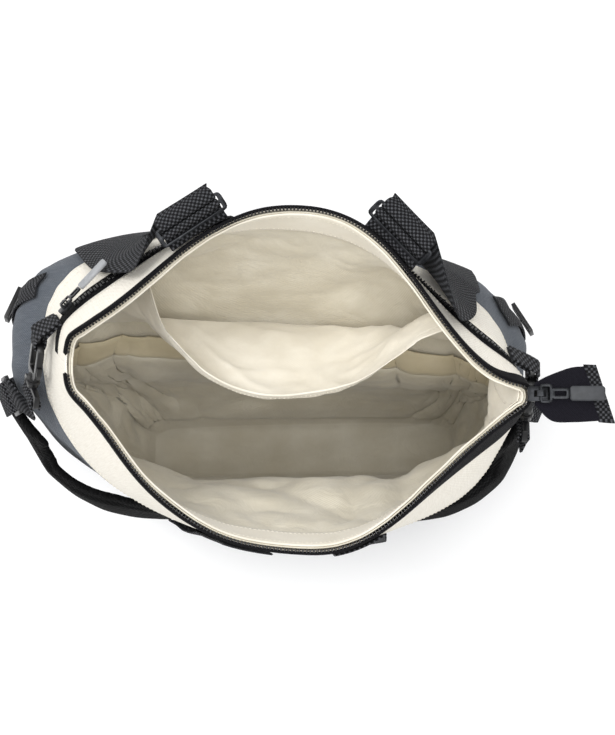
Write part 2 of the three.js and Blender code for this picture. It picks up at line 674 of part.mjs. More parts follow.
function shoulderStrap(side) {
  const wide = side === "left" ? padPath : padPath.map(([s, v, offset]) => [3 - s, v, offset]);
  layStrip("padded_strap_" + side, wide, padWidth, padThickness, blackMesh(), 14, 4);

  const lock = frameOn(side, 1.912, 0.675, 8.5, 1.93, 0.74);
  const lockSlot = loopWidth + 2;
  const lockPlate = ringPlate(loopWidth + 8, 18, [[-4, lockSlot, 4.8], [4, lockSlot, 4.8]], 3);
  add("ladder_lock_" + side, lockPlate, blackPlastic()).applyMatrix4(lock);

  const hook = hookFrame(side);
  add("swivel_hook_" + side, hookGeometry(), blackPlastic()).applyMatrix4(hook);

  const padRise = side === "left" ? 1.4 : 11.9;
  const tongue = [
    [-38, padRise], [-33, padRise * 0.8], [-26, padRise * 0.4], [-20, 1.8], [-15, 1.4], [-10, 2.7], [-7.8, 3],
    [-5.3, 2], [-4.7, 0], [-5, -3], [-7, -4.6],
  ];
  stationStrip("strap_tongue_" + side, turnStations(lock, tongue, webbing, loopWidth), webbing, 2, blackWebbing());
  const start = [[7, -4.6], [5, -3], [4.7, 0], [5.3, 2], [7.8, 3], [10, 2.7], [15, 1.6]];
  const finish = [[-46, -1.5], [-37, 1.6], [-33, 3.4], [-31, 3.6], [-28.6, 2.4], [-28, 0], [-28.4, -3], [-31, -4.4], [-36, -4.4]];
  const ends = [
    ...turnStations(lock, start, webbing, loopWidth),
    ...turnStations(hook, finish, webbing, loopWidth),
  ];
  stationStrip("strap_webbing_" + side, ends, webbing, 2, blackWebbing());
}

// Side loop: webbing sewn at the mouth end, folded through the swivel hook and gathered where it turns
const loopReach = 42;
const anchorLevel = 0.893;

function sideLoop(side) {
  const flip = side === "left" ? 1 : -1;
  const hook = hookFrame(side);
  const hookCentre = new THREE.Vector3().setFromMatrixPosition(hook);
  let run = 0.02;
  while (shell.point(onSide(side, run), anchorLevel, 4).distanceTo(hookCentre) < loopReach) run += 0.002;
  const anchorPlace = onSide(side, run);
  const perLevel = shell.point(anchorPlace, 0.91).distanceTo(shell.point(anchorPlace, 0.87)) / 0.04;
  const anchor = (offset, turned) => (share, lift) =>
    shell.point(anchorPlace, anchorLevel + (flip * share * loopWidth) / perLevel, offset + turned * lift);
  const turn = [[29, -3.4, 0.75], [24, -3.9, 0.5], [19, -4.1, 0.44], [15.3, -3.1, 0.42], [14.2, 0, 0.42], [15.3, 3.1, 0.42],
    [19, 4.1, 0.44], [24, 3.8, 0.55], [29, 3.2, 0.75]];
  const middle = turnStations(hook, turn, webbing, loopWidth);
  const stations = [anchor(2.2, -1), ...middle, anchor(2.6, 1)];
  stationStrip("side_loop_" + side, stations, webbing, 2, blackWebbing());
}

// Short webbing tab with a plastic end, sewn to the body high on each side of the front
function outerTab(side) {
  const rows = [[0.125, 0.72, 1.7], [0.105, 0.65, 1.7], [0.085, 0.58, 1.7]].map(([s, v, offset]) => [onSide(side, s), v, offset]);
  layStrip("outer_tab_" + side, rows, loopWidth, webbing, blackWebbing(), 5, 3);
  const [s, v] = [0.0855, 0.582];
  const endLift = side === "left" ? 7.2 : 5.6;
  const here = shell.point(onSide(side, s), v, endLift);
  const ahead = shell.point(onSide(side, s - 0.01), v - 0.035, endLift);
  const out = shell.point(onSide(side, s), v, endLift + 1).sub(here);
  const way = ahead.sub(here).normalize();
  const frame = frameMatrix(here, new THREE.Vector3().crossVectors(way, out), out);
  add("outer_tab_end_" + side, ringPlate(loopWidth + 5, 13, [[1, loopWidth - 2, 4]], 3.2), blackPlastic()).applyMatrix4(frame);
}

// Zip slider with a bridge, and its pull: a square ring, a two-bar link and a rubber tab
function zipSlider(prefix, matrix, size, tabLength, tabColour) {
  const plate = ringPlate(11, 16, [], 3.4).translate(0, 0, 1.7);
  const side = new THREE.Shape();
  [[-3.2, 0], [-3, 3], [-1.5, 5], [3, 5.4], [5.4, 4], [5.4, 0]].forEach(([y, z], i) =>
    i ? side.lineTo(y, z) : side.moveTo(y, z),
  );
  const eye = new THREE.Path();
  roundRect(eye, 1.8, 2.3, 4, 3.4, 0.6);
  side.holes.push(eye);
  const bridge = new THREE.ExtrudeGeometry(side, { depth: 4.6, bevelEnabled: false, curveSegments: 2 });
  bridge.translate(0, 0, -2.3);
  bridge.applyMatrix4(new THREE.Matrix4().makeBasis(
    new THREE.Vector3(0, 1, 0), new THREE.Vector3(0, 0, 1), new THREE.Vector3(1, 0, 0)));
  bridge.translate(0, 0, 3.3);
  const slider = join(plate, bridge).scale(size, size, size);
  add(prefix + "_slider", slider, darkMetal()).applyMatrix4(matrix);

  const pivot = new THREE.Vector3(0, 1.8 * size, 5.6 * size);
  const pull = new THREE.Group();
  pull.position.copy(pivot);
  const holder = new THREE.Group();
  holder.applyMatrix4(matrix);
  holder.add(pull);
  bag.add(holder);
  const ring = ringPlate(14, 9, [[-0.1, 10.2, 5.6]], 1.8).translate(0, 3.6, 0);
  const link = ringPlate(8, 13, [[0, 3.6, 8.6]], 1.8).translate(0, 14.2, 0);
  add(prefix + "_pull_link", join(ring, link).scale(size, size, size), darkMetal(), pull);
  const tab = ringPlate(11, tabLength / size, [], 4.2).translate(0, 21.1 + tabLength / size / 2, 0);
  add(prefix + "_pull_tab", tab.scale(size, size, size), tabColour, pull);
}

function zipPulls() {
  const along = new THREE.Vector3(0, -1, 0);
  const up = new THREE.Vector3(0, 0, 1);
  const origin = new THREE.Vector3(mouthRight[0] + 4, mouthRight[1], bagHeight + 2.6);
  zipSlider("main_zip", frameMatrix(origin, along, up), 1, 26, greyRubber());
  const [s, v] = [0.112, pocketZipLevel];
  const here = shell.point(s, v, 2.1);
  const way = shell.point(s + 0.05, v, 2.1).sub(here).normalize();
  const out = shell.point(s, v, 3.1).sub(here);
  const frame = frameMatrix(here, new THREE.Vector3().crossVectors(way, out), out);
  zipSlider("pocket_zip", frame, 0.8, 28, cloth(0x8b8d90, 0.6));
}

// Zip tail: the two tapes run on together past the mouth and end in a bound tab
const tailEdges = [
  [2.2, 8, 2.2, -8, 1.9], [12, 13, 14, -19, 1.8], [28, 19, 30, -20, 0.6], [38, 20.5, 48, -19, -2], [40, 20.8, 50, -19, -2.4],
];
const tailTab = [[40.6, 21, 50.6, -19, -2.6], [44, 21, 55.5, -19.4, -3.4], [47.5, 21, 60, -19.6, -4.4]];

function zipTail() {
  const strip = (name, rows, thickness, material, sink) => {
    const layer = (lift) =>
      [0, 0.5, 1].map((k) =>
        rows.map(([farX, farY, nearX, nearY, height]) =>
          new THREE.Vector3(
            mouthRight[0] + farX + (nearX - farX) * k,
            mouthRight[1] + farY + (nearY - farY) * k,
            bagHeight + height + lift - sink,
          ),
        ),
      );
    add(name, geometryOf(grid(layer(0), layer(thickness))), material);
  };
  strip("main_zip_tail", tailEdges, 1.4, blackTape(), 1);
  strip("main_zip_tail_tab", tailTab, 3.4, blackWebbing(), 2);
}

frontHandle();
backHandle();
["left", "right"].forEach((side) => {
  shoulderStrap(side);
  sideLoop(side);
  outerTab(side);
});
zipTail();
zipPulls();

// The part's origin is the middle of its outer box, on the floor
const part = new THREE.Group();
const outerBox = new THREE.Box3().setFromObject(bag, true);
const middle = outerBox.getCenter(new THREE.Vector3());
bag.position.set(-middle.x, -middle.y, -outerBox.min.z);
part.add(bag);

export default part;
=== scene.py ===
# Backpack tote standing on its base with its zip mouth pulled wide open.
# Tables are in millimetres and meshes in metres.
# The bag's front looks towards +Y, its left end towards -X.
import json
import math

import bmesh
import bpy
import numpy as np
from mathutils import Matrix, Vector
from mathutils.kdtree import KDTree

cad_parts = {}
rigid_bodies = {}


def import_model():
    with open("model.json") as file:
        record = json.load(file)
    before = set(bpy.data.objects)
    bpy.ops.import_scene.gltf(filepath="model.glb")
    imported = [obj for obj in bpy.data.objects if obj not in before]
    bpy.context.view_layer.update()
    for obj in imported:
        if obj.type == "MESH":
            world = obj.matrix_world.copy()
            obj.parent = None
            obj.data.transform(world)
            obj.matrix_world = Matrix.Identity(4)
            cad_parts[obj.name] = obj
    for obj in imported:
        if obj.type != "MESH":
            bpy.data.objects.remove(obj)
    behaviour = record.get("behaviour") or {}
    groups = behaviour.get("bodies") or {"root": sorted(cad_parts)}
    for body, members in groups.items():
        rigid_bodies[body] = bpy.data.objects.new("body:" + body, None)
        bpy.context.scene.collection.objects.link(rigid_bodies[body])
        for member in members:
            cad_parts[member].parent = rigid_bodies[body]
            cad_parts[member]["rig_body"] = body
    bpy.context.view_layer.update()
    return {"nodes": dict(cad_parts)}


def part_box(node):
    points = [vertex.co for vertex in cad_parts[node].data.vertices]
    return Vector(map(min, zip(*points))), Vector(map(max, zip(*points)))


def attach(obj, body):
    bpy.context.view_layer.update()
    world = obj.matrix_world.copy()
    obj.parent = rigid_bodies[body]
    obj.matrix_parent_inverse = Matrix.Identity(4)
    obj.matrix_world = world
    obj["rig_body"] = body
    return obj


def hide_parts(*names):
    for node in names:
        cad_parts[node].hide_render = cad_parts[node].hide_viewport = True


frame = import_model()
mm = 0.001

# Lower body
# One cup of slate cotton canvas, walls and flat base, sewn up at the sides.
# All the cloth of the bag follows the wall surface that is worked out here.
bag_height = 370.0
body_width = 436.0
body_depth = 220.0
mouth_left = np.array([-181.0, 3.0])
mouth_right = np.array([166.0, -20.0])
mouth_front = 128.0
mouth_back = 128.0
rim_drop = 14.0
seam_level = 0.78
canvas_thickness = 1.5
layer_gap = 0.4
columns_per_half = 20
fine_per_column = 18
fine_rows = 241


def table(columns, rows):
    """Rows of a short table, each with its values under their column names."""
    names = columns.split()
    return [dict(zip(names, row)) for row in rows]


# Mouth outline: share along the mouth, and share of the pull-out of its front or back rim
front_rim = table("along out", [
    (0, 0.14), (0.12, 0.39), (0.28, 0.8), (0.42, 1.01), (0.5, 1.04), (0.62, 0.99),
    (0.71, 0.8), (0.8, 0.46), (0.88, 0.19), (0.94, 0.085), (1, 0.05),
])
back_rim = table("along out", [
    (0, 0.14), (0.07, 0.32), (0.165, 0.66), (0.3, 0.92), (0.4, 0.99), (0.5, 1.005),
    (0.6, 0.98), (0.7, 0.815), (0.8, 0.54), (0.9, 0.27), (1, 0.05),
])

# Body sections as shares of the body's height, width and depth; lean turns a section about its middle,
# and the last four columns say how square it is at the front left, front right, back left and back right
section_columns = "height shift_x shift_y width front back lean front_left front_right back_left back_right"
shell_sections = table(section_columns, [
    (0, -0.01, 0, 0.7, 0.32, 0.32, 0, 6, 6, 6, 6),
    (0.035, -0.01, 0, 0.75, 0.355, 0.355, 0, 5, 5, 5, 5),
    (0.2, -0.035, 0.03, 0.87, 0.41, 0.47, -0.01, 3.8, 3.4, 3.2, 3.4),
    (0.46, -0.065, 0.09, 0.96, 0.44, 0.54, -0.012, 3.2, 2.6, 2.4, 2.6),
    (0.65, -0.0735, 0.12, 0.972, 0.437, 0.565, -0.012, 3, 2.2, 2.05, 2.2),
    (0.78, -0.054, 0.075, 0.856, 0.445, 0.638, -0.07, 2.5, 2.2, 2.35, 2.35),
])
shell_levels = [0, 0.035, 0.11, 0.2, 0.33, 0.46, 0.58, 0.68, seam_level, 0.84, 0.885, 0.925, 0.965, 1]

# Soft folds of the body cloth: middle and half size of each, in shares, and its depth in mm
fold_columns = "place level half_length half_height depth"
shell_folds = table(fold_columns, [
    (0.1, 0.5, 0.03, 0.22, -5),
    (0.17, 0.44, 0.025, 0.2, 4),
    (0.87, 0.52, 0.03, 0.2, -5),
    (0.79, 0.46, 0.03, 0.18, 3),
    (1.14, 0.4, 0.04, 0.2, -4),
    (1.86, 0.38, 0.04, 0.2, -4),
    (0.5, 0.3, 0.12, 0.14, -3),
])


def smooth_read(knots, values, at):
    """Smooth curve through values at the knots, read at each of the places."""
    knots = np.asarray(knots, float)
    values = np.asarray(values, float)
    at = np.asarray(at, float)
    last = len(knots) - 1
    before = np.maximum(np.arange(last + 1) - 1, 0)
    after = np.minimum(np.arange(last + 1) + 1, last)
    spread = (knots[after] - knots[before]).reshape((-1,) + (1,) * (values.ndim - 1))
    slope = (values[after] - values[before]) / spread
    i = np.clip(np.searchsorted(knots, at) - 1, 0, last - 1)
    shape = at.shape + (1,) * (values.ndim - 1)
    span = (knots[i + 1] - knots[i]).reshape(shape)
    t = np.clip((at - knots[i]).reshape(shape) / span, 0, 1)
    stay = 2 * t**3 - 3 * t**2 + 1
    leave = (t**3 - 2 * t**2 + t) * span
    arrive = (t**3 - t**2) * span
    return stay * values[i] + (1 - stay) * values[i + 1] + leave * slope[i] + arrive * slope[i + 1]


def read_table(rows, key, at, column):
    """Smooth curve through the rows of a table, read at values of its key column."""
    return smooth_read([row[key] for row in rows], [row[column] for row in rows], at)


def ease(low, high, at):
    t = np.clip((np.asarray(at, float) - low) / (high - low), 0, 1)
    return t * t * (3 - 2 * t)


def ring_at(row, s):
    """One body section; s runs 0 to 1 along the front and 1 to 2 back along the rear."""
    x = -np.cos(np.pi * s)
    y = np.sin(np.pi * s)
    front = s <= 1
    left = x < 0
    front_square = np.where(left, row["front_left"], row["front_right"])
    back_square = np.where(left, row["back_left"], row["back_right"])
    square = np.where(front, front_square, back_square)
    out = np.where(front, row["front"], row["back"]) * np.sign(y) * np.abs(y) ** (2 / square)
    run = body_width * row["width"] / 2 * np.sign(x) * np.abs(x) ** (2 / square)
    px = body_width * row["shift_x"] + run
    py = body_depth * (row["shift_y"] + out) + row["lean"] * run
    return np.stack([px, py, np.full_like(px, bag_height * row["height"])], -1)


def rim_at(s):
    """Edge of the mouth, pinched to a blunt point at each end."""
    front = s <= 1
    along = (1 - np.cos(np.pi * s)) / 2
    front_out = read_table(front_rim, "along", along, "out")
    back_out = read_table(back_rim, "along", along, "out")
    out = np.where(front, front_out, back_out)
    ends = np.abs(np.sin(np.pi * s)) < 1e-6
    reach = np.where(ends, 0, out * np.where(front, mouth_front, -mouth_back))
    x = mouth_left[0] + (mouth_right[0] - mouth_left[0]) * along
    y = mouth_left[1] + (mouth_right[1] - mouth_left[1]) * along + reach
    return np.stack([x, y, bag_height - rim_drop * out], -1)


def spline_weights(t):
    """Shares of four neighbours in a smooth curve between the middle two."""
    before = (1 - t) ** 3 / 6
    near = (3 * t**3 - 6 * t**2 + 4) / 6
    far = (-3 * t**3 + 3 * t**2 + 3 * t + 1) / 6
    return [before, near, far, t**3 / 6]


def soft_noise(seed, cells_around, cells_up, s, v):
    """Smooth noise from -1 to 1 that closes on itself around the bag."""
    lattice = np.random.default_rng(seed).uniform(-1, 1, (cells_up + 4, cells_around))
    u = (np.asarray(s, float) % 2) / 2 * cells_around
    w = np.clip(np.asarray(v, float), 0, 1) * cells_up
    c, r = np.floor(u).astype(int), np.floor(w).astype(int)
    total = 0
    for i, row_weight in enumerate(spline_weights(w - r)):
        for j, column_weight in enumerate(spline_weights(u - c)):
            total = total + row_weight * column_weight * lattice[r + i, (c + j - 1) % cells_around]
    return 1.6 * total


def unit(vectors):
    return vectors / np.maximum(np.linalg.norm(vectors, axis=-1, keepdims=True), 1e-9)


class Wall:
    """A closed cloth wall: nodes in rows up and columns around, read straight between them."""

    def __init__(self, nodes, levels):
        self.nodes = nodes
        self.levels = np.asarray(levels, float)
        self.normals = self.facing()

    def facing(self):
        rows = np.arange(len(self.levels))
        up = self.nodes[np.minimum(rows + 1, rows[-1])] - self.nodes[np.maximum(rows - 1, 0)]
        along = np.roll(self.nodes, -1, 1) - np.roll(self.nodes, 1, 1)
        return unit(np.cross(up, along))

    def push(self, depth):
        self.nodes = self.nodes + self.normals * depth[..., None]
        self.normals = self.facing()

    def point(self, s, v, offset=0.0):
        given = [np.asarray(value, float) for value in (s, v, offset)]
        s, v, offset = np.broadcast_arrays(*given)
        count = self.nodes.shape[1]
        u = (s % 2) / 2 * count
        w = np.interp(v, self.levels, np.arange(len(self.levels)))
        c = np.floor(u).astype(int)
        r = np.minimum(np.floor(w).astype(int), len(self.levels) - 2)
        fc, fr = (u - c)[..., None], (w - r)[..., None]
        at = 0
        face = 0
        for i, row_share in ((0, 1 - fr), (1, fr)):
            for j, column_share in ((0, 1 - fc), (1, fc)):
                at = at + self.nodes[r + i, (c + j) % count] * row_share * column_share
                face = face + self.normals[r + i, (c + j) % count] * row_share * column_share
        return at + unit(face) * offset[..., None]


def dents(folds, s, v):
    total = np.zeros(np.broadcast(s, v).shape)
    for fold in folds:
        along = (s - fold["place"]) / fold["half_length"]
        up = (v - fold["level"]) / fold["half_height"]
        total = total + fold["depth"] * np.exp(-(along**2 + up**2))
    return total


def firm_wall(sections, levels, folds, rim):
    """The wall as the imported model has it, on which its hard pieces sit."""
    s = np.arange(2 * columns_per_half) / columns_per_half
    rings = np.stack([ring_at(row, s) for row in sections] + [rim(s)])
    heights = [row["height"] for row in sections] + [1]
    wall = Wall(smooth_read(heights, rings, levels), levels)
    wall.push(dents(folds, s[None, :], np.asarray(levels, float)[:, None]))
    return wall


def soft_wall(sections, folds, rim, wrinkles):
    """The same wall in fine steps, rounded between its columns, with its wrinkles."""
    levels = np.linspace(sections[0]["height"], 1, fine_rows)
    firm = firm_wall(sections, levels, folds, rim)
    columns = 2 * columns_per_half
    u = np.arange(columns * fine_per_column) / fine_per_column
    c = np.floor(u).astype(int)
    nodes = 0
    for j, weight in enumerate(spline_weights(u - c)):
        nodes = nodes + firm.nodes[:, (c + j - 1) % columns] * weight[None, :, None]
    wall = Wall(nodes, levels)
    s = u / columns_per_half
    wall.push(wrinkles(s[None, :], levels[:, None]))
    return wall


def shell_wrinkles(s, v):
    """Canvas hangs in shallow hollows and gathers a little where the ends are drawn in."""
    loose = ease(0.02, 0.2, v) * (1 - 0.8 * ease(0.74, 0.9, v))
    drawn = s + 0.02 * soft_noise(13, 16, 5, s, v)
    hollows = 1.7 * soft_noise(11, 24, 6, drawn, v) + 0.6 * soft_noise(12, 56, 9, drawn, v)
    near_end = np.exp(-((np.sin(np.pi * s) / 0.55) ** 2))
    pleats = soft_noise(14, 120, 3, drawn + 0.05 * v, v)
    gathered = 1 + 1.2 * ease(0.4, 0.6, v) * (1 - ease(0.72, 0.78, v))
    return loose * (hollows + gathered * pleats * near_end - 1.2)


shell_firm = firm_wall(shell_sections, shell_levels, shell_folds, rim_at)
shell = soft_wall(shell_sections, shell_folds, rim_at, shell_wrinkles)

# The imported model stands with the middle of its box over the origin
body_rows = [r for r, v in enumerate(shell_levels) if v <= seam_level]
body_nodes = shell_firm.nodes[body_rows].reshape(-1, 3)
body_low, body_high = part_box("lower_body")
body_spread = body_nodes.min(0) + body_nodes.max(0)
shift = [(body_low[k] + body_high[k]) / 2 - mm * body_spread[k] / 2 for k in (0, 1)]
bag_shift = np.array([shift[0], shift[1], 0.0])


def place(points):
    """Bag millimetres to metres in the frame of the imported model."""
    return np.asarray(points, float) * mm + bag_shift


def linear(hex_colour):
    """sRGB hex colour as a linear one."""
    channels = [int(hex_colour[i : i + 2], 16) / 255 for i in (1, 3, 5)]
    return tuple(c / 12.92 if c <= 0.04045 else ((c + 0.055) / 1.055) ** 2.4 for c in channels) + (1.0,)


def add_node(tree, kind, settings=None, inputs=None):
    made = tree.nodes.new(kind)
    for name, value in (settings or {}).items():
        setattr(made, name, value)
    for socket, value in (inputs or {}).items():
        if isinstance(value, bpy.types.NodeSocket):
            tree.links.new(value, made.inputs[socket])
        else:
            made.inputs[socket].default_value = value
    return made


def start_material(name):
    material = bpy.data.materials.new(name)
    material.use_nodes = True
    tree = material.node_tree
    tree.nodes.clear()
    return material, tree


def end_material(tree, sockets):
    """Gives the material its surface, with these values or links on the shader's sockets."""
    shader = add_node(tree, "ShaderNodeBsdfPrincipled", {}, sockets)
    add_node(tree, "ShaderNodeOutputMaterial", {}, {"Surface": shader.outputs[0]})


def maths(tree, operation, first, second=0.5):
    return add_node(tree, "ShaderNodeMath", {"operation": operation}, {0: first, 1: second}).outputs[0]


def noise(tree, coordinate, scale, detail, kind="FBM", **others):
    """Noise of so many waves to the unit of its coordinate."""
    sockets = {"Vector": coordinate, "Scale": scale, "Detail": detail} | others
    return add_node(tree, "ShaderNodeTexNoise", {"noise_type": kind}, sockets).outputs["Fac"]


def relief(tree, strength, depth, height):
    """Surface direction of a relief that is so many metres deep."""
    sockets = {"Strength": strength, "Distance": depth, "Height": height}
    return add_node(tree, "ShaderNodeBump", {}, sockets).outputs[0]


def object_place(tree):
    return add_node(tree, "ShaderNodeTexCoord").outputs["Object"]


def colour_ramp(tree, factor, stops):
    """Colour stops, each with its place from 0 to 1 and its sRGB hex colour."""
    ramp = add_node(tree, "ShaderNodeValToRGB", {}, {"Fac": factor})
    elements = ramp.color_ramp.elements
    while len(elements) < len(stops):
        elements.new(0.5)
    for element, (at, colour) in zip(elements, stops):
        element.position = at
        element.color = linear(colour)
    return ramp.outputs["Color"]


def noise_colour(tree, coordinate, scale, stops, detail=3.0, roughness=0.6):
    return colour_ramp(tree, noise(tree, coordinate, scale, detail, Roughness=roughness), stops)


def plain_material(name, scale, stops, sockets):
    """One slightly uneven colour, with the given values on the shader's sockets."""
    material, tree = start_material(name)
    colour = noise_colour(tree, object_place(tree), scale, stops)
    end_material(tree, {"Base Color": colour} | sockets)
    return material


def weave(tree, pitch_along, pitch_across):
    """Height of a plain weave on the piece's own UV map, which is in millimetres."""
    uv = add_node(tree, "ShaderNodeUVMap", {"uv_map": "cloth"}).outputs[0]
    parts = add_node(tree, "ShaderNodeSeparateXYZ", {}, {0: uv}).outputs
    warp = maths(tree, "SINE", maths(tree, "MULTIPLY", parts[0], math.pi / pitch_along))
    weft = maths(tree, "SINE", maths(tree, "MULTIPLY", parts[1], math.pi / pitch_across))
    return maths(tree, "MULTIPLY", warp, weft), uv


def canvas_material(name, stops, thread, bump, roughness, sheen):
    """Plain-woven cotton: drawn with threads coarser than real ones, so that they show, and with
    the long uneven streaks that thick and thin yarn leaves in it."""
    material, tree = start_material(name)
    height, uv = weave(tree, thread, thread)
    streak = (0.8, 0.08, 1.0)
    drawn_out = add_node(tree, "ShaderNodeVectorMath", {"operation": "MULTIPLY"}, {0: uv, 1: streak})
    colour = noise_colour(tree, drawn_out.outputs[0], 1.0, stops, 5.0, 0.65)
    cloudy = noise(tree, object_place(tree), 14.0, 2.0)
    slubs = maths(tree, "MULTIPLY", noise(tree, uv, 0.9, 2.0), 1.4)
    rough = maths(tree, "ADD", height, slubs)
    clouded = maths(tree, "ADD", rough, cloudy)
    # Colour scale: lighter on the raised threads and darker in the dips of the weave, which is painted
    # highlight and painted shade, varied at random by slubs and broad clouds in the yarn
    weave_shade_and_flecks = add_node(tree, "ShaderNodeMapRange", {}, {0: clouded, 1: 0.1, 2: 2.3, 3: 0.88, 4: 1.08})
    scaled = {0: colour, "Scale": weave_shade_and_flecks.outputs[0]}
    mixed = add_node(tree, "ShaderNodeVectorMath", {"operation": "SCALE"}, scaled)
    end_material(tree, {
        "Base Color": mixed.outputs[0],
        "Roughness": roughness,
        "Sheen Weight": sheen,
        "Specular IOR Level": 0.2,
        "Normal": relief(tree, bump, 0.0005, rough),
    })
    return material


# Slate canvas: yarn-dyed blue-grey cotton, soft and matt, streaked with lighter yarn
slate_canvas = canvas_material(
    "yarn_dyed_slate_canvas", [(0.3, "#434850"), (0.5, "#4C525A"), (0.7, "#5A6068")], 1.3, 0.5,
    0.92, 0.12,
)


def mesh_object(name, points, faces, material, uv=None):
    """A piece from points in metres and faces, smooth, with an optional UV pair for each point."""
    mesh = bpy.data.meshes.new(name)
    mesh.from_pydata([tuple(p) for p in points], [], [tuple(int(i) for i in f) for f in faces])
    if uv is not None:
        layer = mesh.uv_layers.new(name="cloth")
        corners = np.empty(len(mesh.loops), np.int32)
        mesh.loops.foreach_get("vertex_index", corners)
        layer.data.foreach_set("uv", np.asarray(uv, np.float32)[corners].ravel())
    mesh.materials.append(material)
    mesh.shade_smooth()
    piece = bpy.data.objects.new(name, mesh)
    bpy.context.scene.collection.objects.link(piece)
    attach(piece, "root")
    return piece


def signed_volume(points, faces):
    total = 0.0
    for face in faces:
        a = points[face[0]]
        for i in range(1, len(face) - 1):
            total += float(np.dot(a, np.cross(points[face[i]], points[face[i + 1]])))
    return total


def cloth_solid(name, outer, inner, material, uv, closed=False):
    """Cloth between an outer and an inner grid of points, its cut edges rounded.
    A closed one joins itself along the columns, and its first row closes to a flat bottom."""
    rows, columns = outer.shape[:2]
    middle = (outer + inner) / 2
    half = np.linalg.norm(outer - inner, axis=-1, keepdims=True) / 2
    top = middle[-1] + unit(middle[-1] - middle[-2]) * half[-1]
    edges = []
    outside = np.full((rows + 2, columns + 2), -1)
    inside = np.full((rows + 2, columns + 2), -1)
    outside[1:-1, 1:-1] = np.arange(rows * columns).reshape(rows, columns)
    inside[1:-1, 1:-1] = outside[1:-1, 1:-1] + rows * columns
    next_id = 2 * rows * columns
    uv_points = [np.asarray(uv, float).reshape(-1, 2)] * 2

    def border(points, row, column, marks):
        nonlocal next_id
        ids = next_id + np.arange(len(points))
        next_id += len(points)
        outside[row, column] = ids
        inside[row, column] = ids
        edges.append(points)
        uv_points.append(marks)

    whole = slice(1, -1)
    border(top, rows + 1, whole, uv[-1])
    if closed:
        for grid_ids in (outside, inside):
            grid_ids[:, -1] = grid_ids[:, 1]
    else:
        bottom = middle[0] + unit(middle[0] - middle[1]) * half[0]
        left = middle[:, 0] + unit(middle[:, 0] - middle[:, 1]) * half[:, 0]
        right = middle[:, -1] + unit(middle[:, -1] - middle[:, -2]) * half[:, -1]
        border(bottom, 0, whole, uv[0])
        border(left, whole, 0, uv[:, 0])
        border(right, whole, columns + 1, uv[:, -1])
        for row, end, edge in ((0, 0, bottom), (rows + 1, -1, top)):
            left_corner = edge[0] + (left[end] - middle[end, 0])
            right_corner = edge[-1] + (right[end] - middle[end, -1])
            border(left_corner[None], row, slice(0, 1), uv[end, 0][None])
            border(right_corner[None], row, slice(columns + 1, None), uv[end, -1][None])
    points = np.concatenate([outer.reshape(-1, 3), inner.reshape(-1, 3)] + edges)
    first = 1 if closed else 0
    quads = []
    for ids, turned in ((outside, False), (inside, True)):
        a = ids[first:-1, first:-1].ravel()
        b = ids[first + 1 :, first:-1].ravel()
        c = ids[first + 1 :, first + 1 :].ravel()
        d = ids[first:-1, first + 1 :].ravel()
        quads.append(np.stack([a, d, c, b] if turned else [a, b, c, d], -1))
    faces = [tuple(f) for f in np.concatenate(quads)]
    if closed:
        faces.append(tuple(outside[1, 1:-1]))
        faces.append(tuple(inside[1, 1:-1][::-1]))
    if signed_volume(points, faces) < 0:
        faces = [f[::-1] for f in faces]
    return mesh_object(name, place(points), faces, material, np.concatenate(uv_points))


around_length = 575.0
cloth_step = 3.4


def wall_grid(wall, span, levels, offset, step=cloth_step, around=False):
    """Grid of wall points between two places around and two levels, with its UV in millimetres."""
    columns = max(int((span[1] - span[0]) * around_length / step), 2)
    rows = max(int((levels[1] - levels[0]) * bag_height / step), 2)
    s = np.linspace(span[0], span[1], columns, endpoint=not around)[None, :]
    v = np.linspace(levels[0], levels[1], rows)[:, None]
    s, v = np.broadcast_arrays(s, v)
    depth = offset(s, v) if callable(offset) else offset
    return wall.point(s, v, depth), np.stack([s * around_length, v * bag_height], -1), s, v


def wall_panel(name, wall, span, levels, offset, thickness, material, belly=None, step=cloth_step):
    """Panel of cloth on a wall; belly lifts it, from its shares along and up the panel."""

    def lift(s, v):
        along = (s - span[0]) / (span[1] - span[0])
        up = (v - levels[0]) / (levels[1] - levels[0])
        return belly(along, up) if belly else 0.0

    outer, uv, _, _ = wall_grid(wall, span, levels, lambda s, v: offset + lift(s, v), step)
    inner, _, _, _ = wall_grid(wall, span, levels, lambda s, v: offset - thickness + lift(s, v), step)
    return cloth_solid(name, outer, inner, material, uv)


def cup(name, wall, top_level, thickness, floor_height, material, step):
    """Walls up to a level and a flat floor, in one cloth."""
    low = wall.levels[0]
    outer, uv, s, v = wall_grid(wall, (0, 2), (low, top_level), 0.0, step, around=True)
    inner, _, _, _ = wall_grid(wall, (0, 2), (low, top_level), -thickness, step, around=True)
    foot = bag_height * low
    outer[0, :, 2] = foot
    inner[0, :, 2] = foot + floor_height
    centre = outer[0].mean(0)
    floor_run = 90.0
    shares = np.array([0.03, 0.2, 0.4, 0.6, 0.8])[:, None]

    def floor_rings(ring):
        middle = np.array([centre[0], centre[1], ring[0, 2]])
        return middle * (1 - shares[..., None]) + ring[None] * shares[..., None]

    outer = np.concatenate([floor_rings(outer[0]), outer])
    inner = np.concatenate([floor_rings(inner[0]), inner])
    floor_uv = np.stack(np.broadcast_arrays(s[:1] * around_length, shares * floor_run), -1)
    return cloth_solid(name, outer, inner, material, np.concatenate([floor_uv, uv]), closed=True)


base_thickness = 2 * canvas_thickness
lower_body = cup(
    "slate_body", shell, seam_level, canvas_thickness, base_thickness, slate_canvas, cloth_step
)
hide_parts("lower_body")

# Stitches
# Bonded thread in short lockstitches along every seam that shows. Each stitch is a small spindle.
thread_material = plain_material(
    "bonded_sewing_thread", 900.0, [(0.3, "#DAD3C2"), (0.7, "#F2EDE0")],
    {"Roughness": 0.7, "Sheen Weight": 0.2},
)


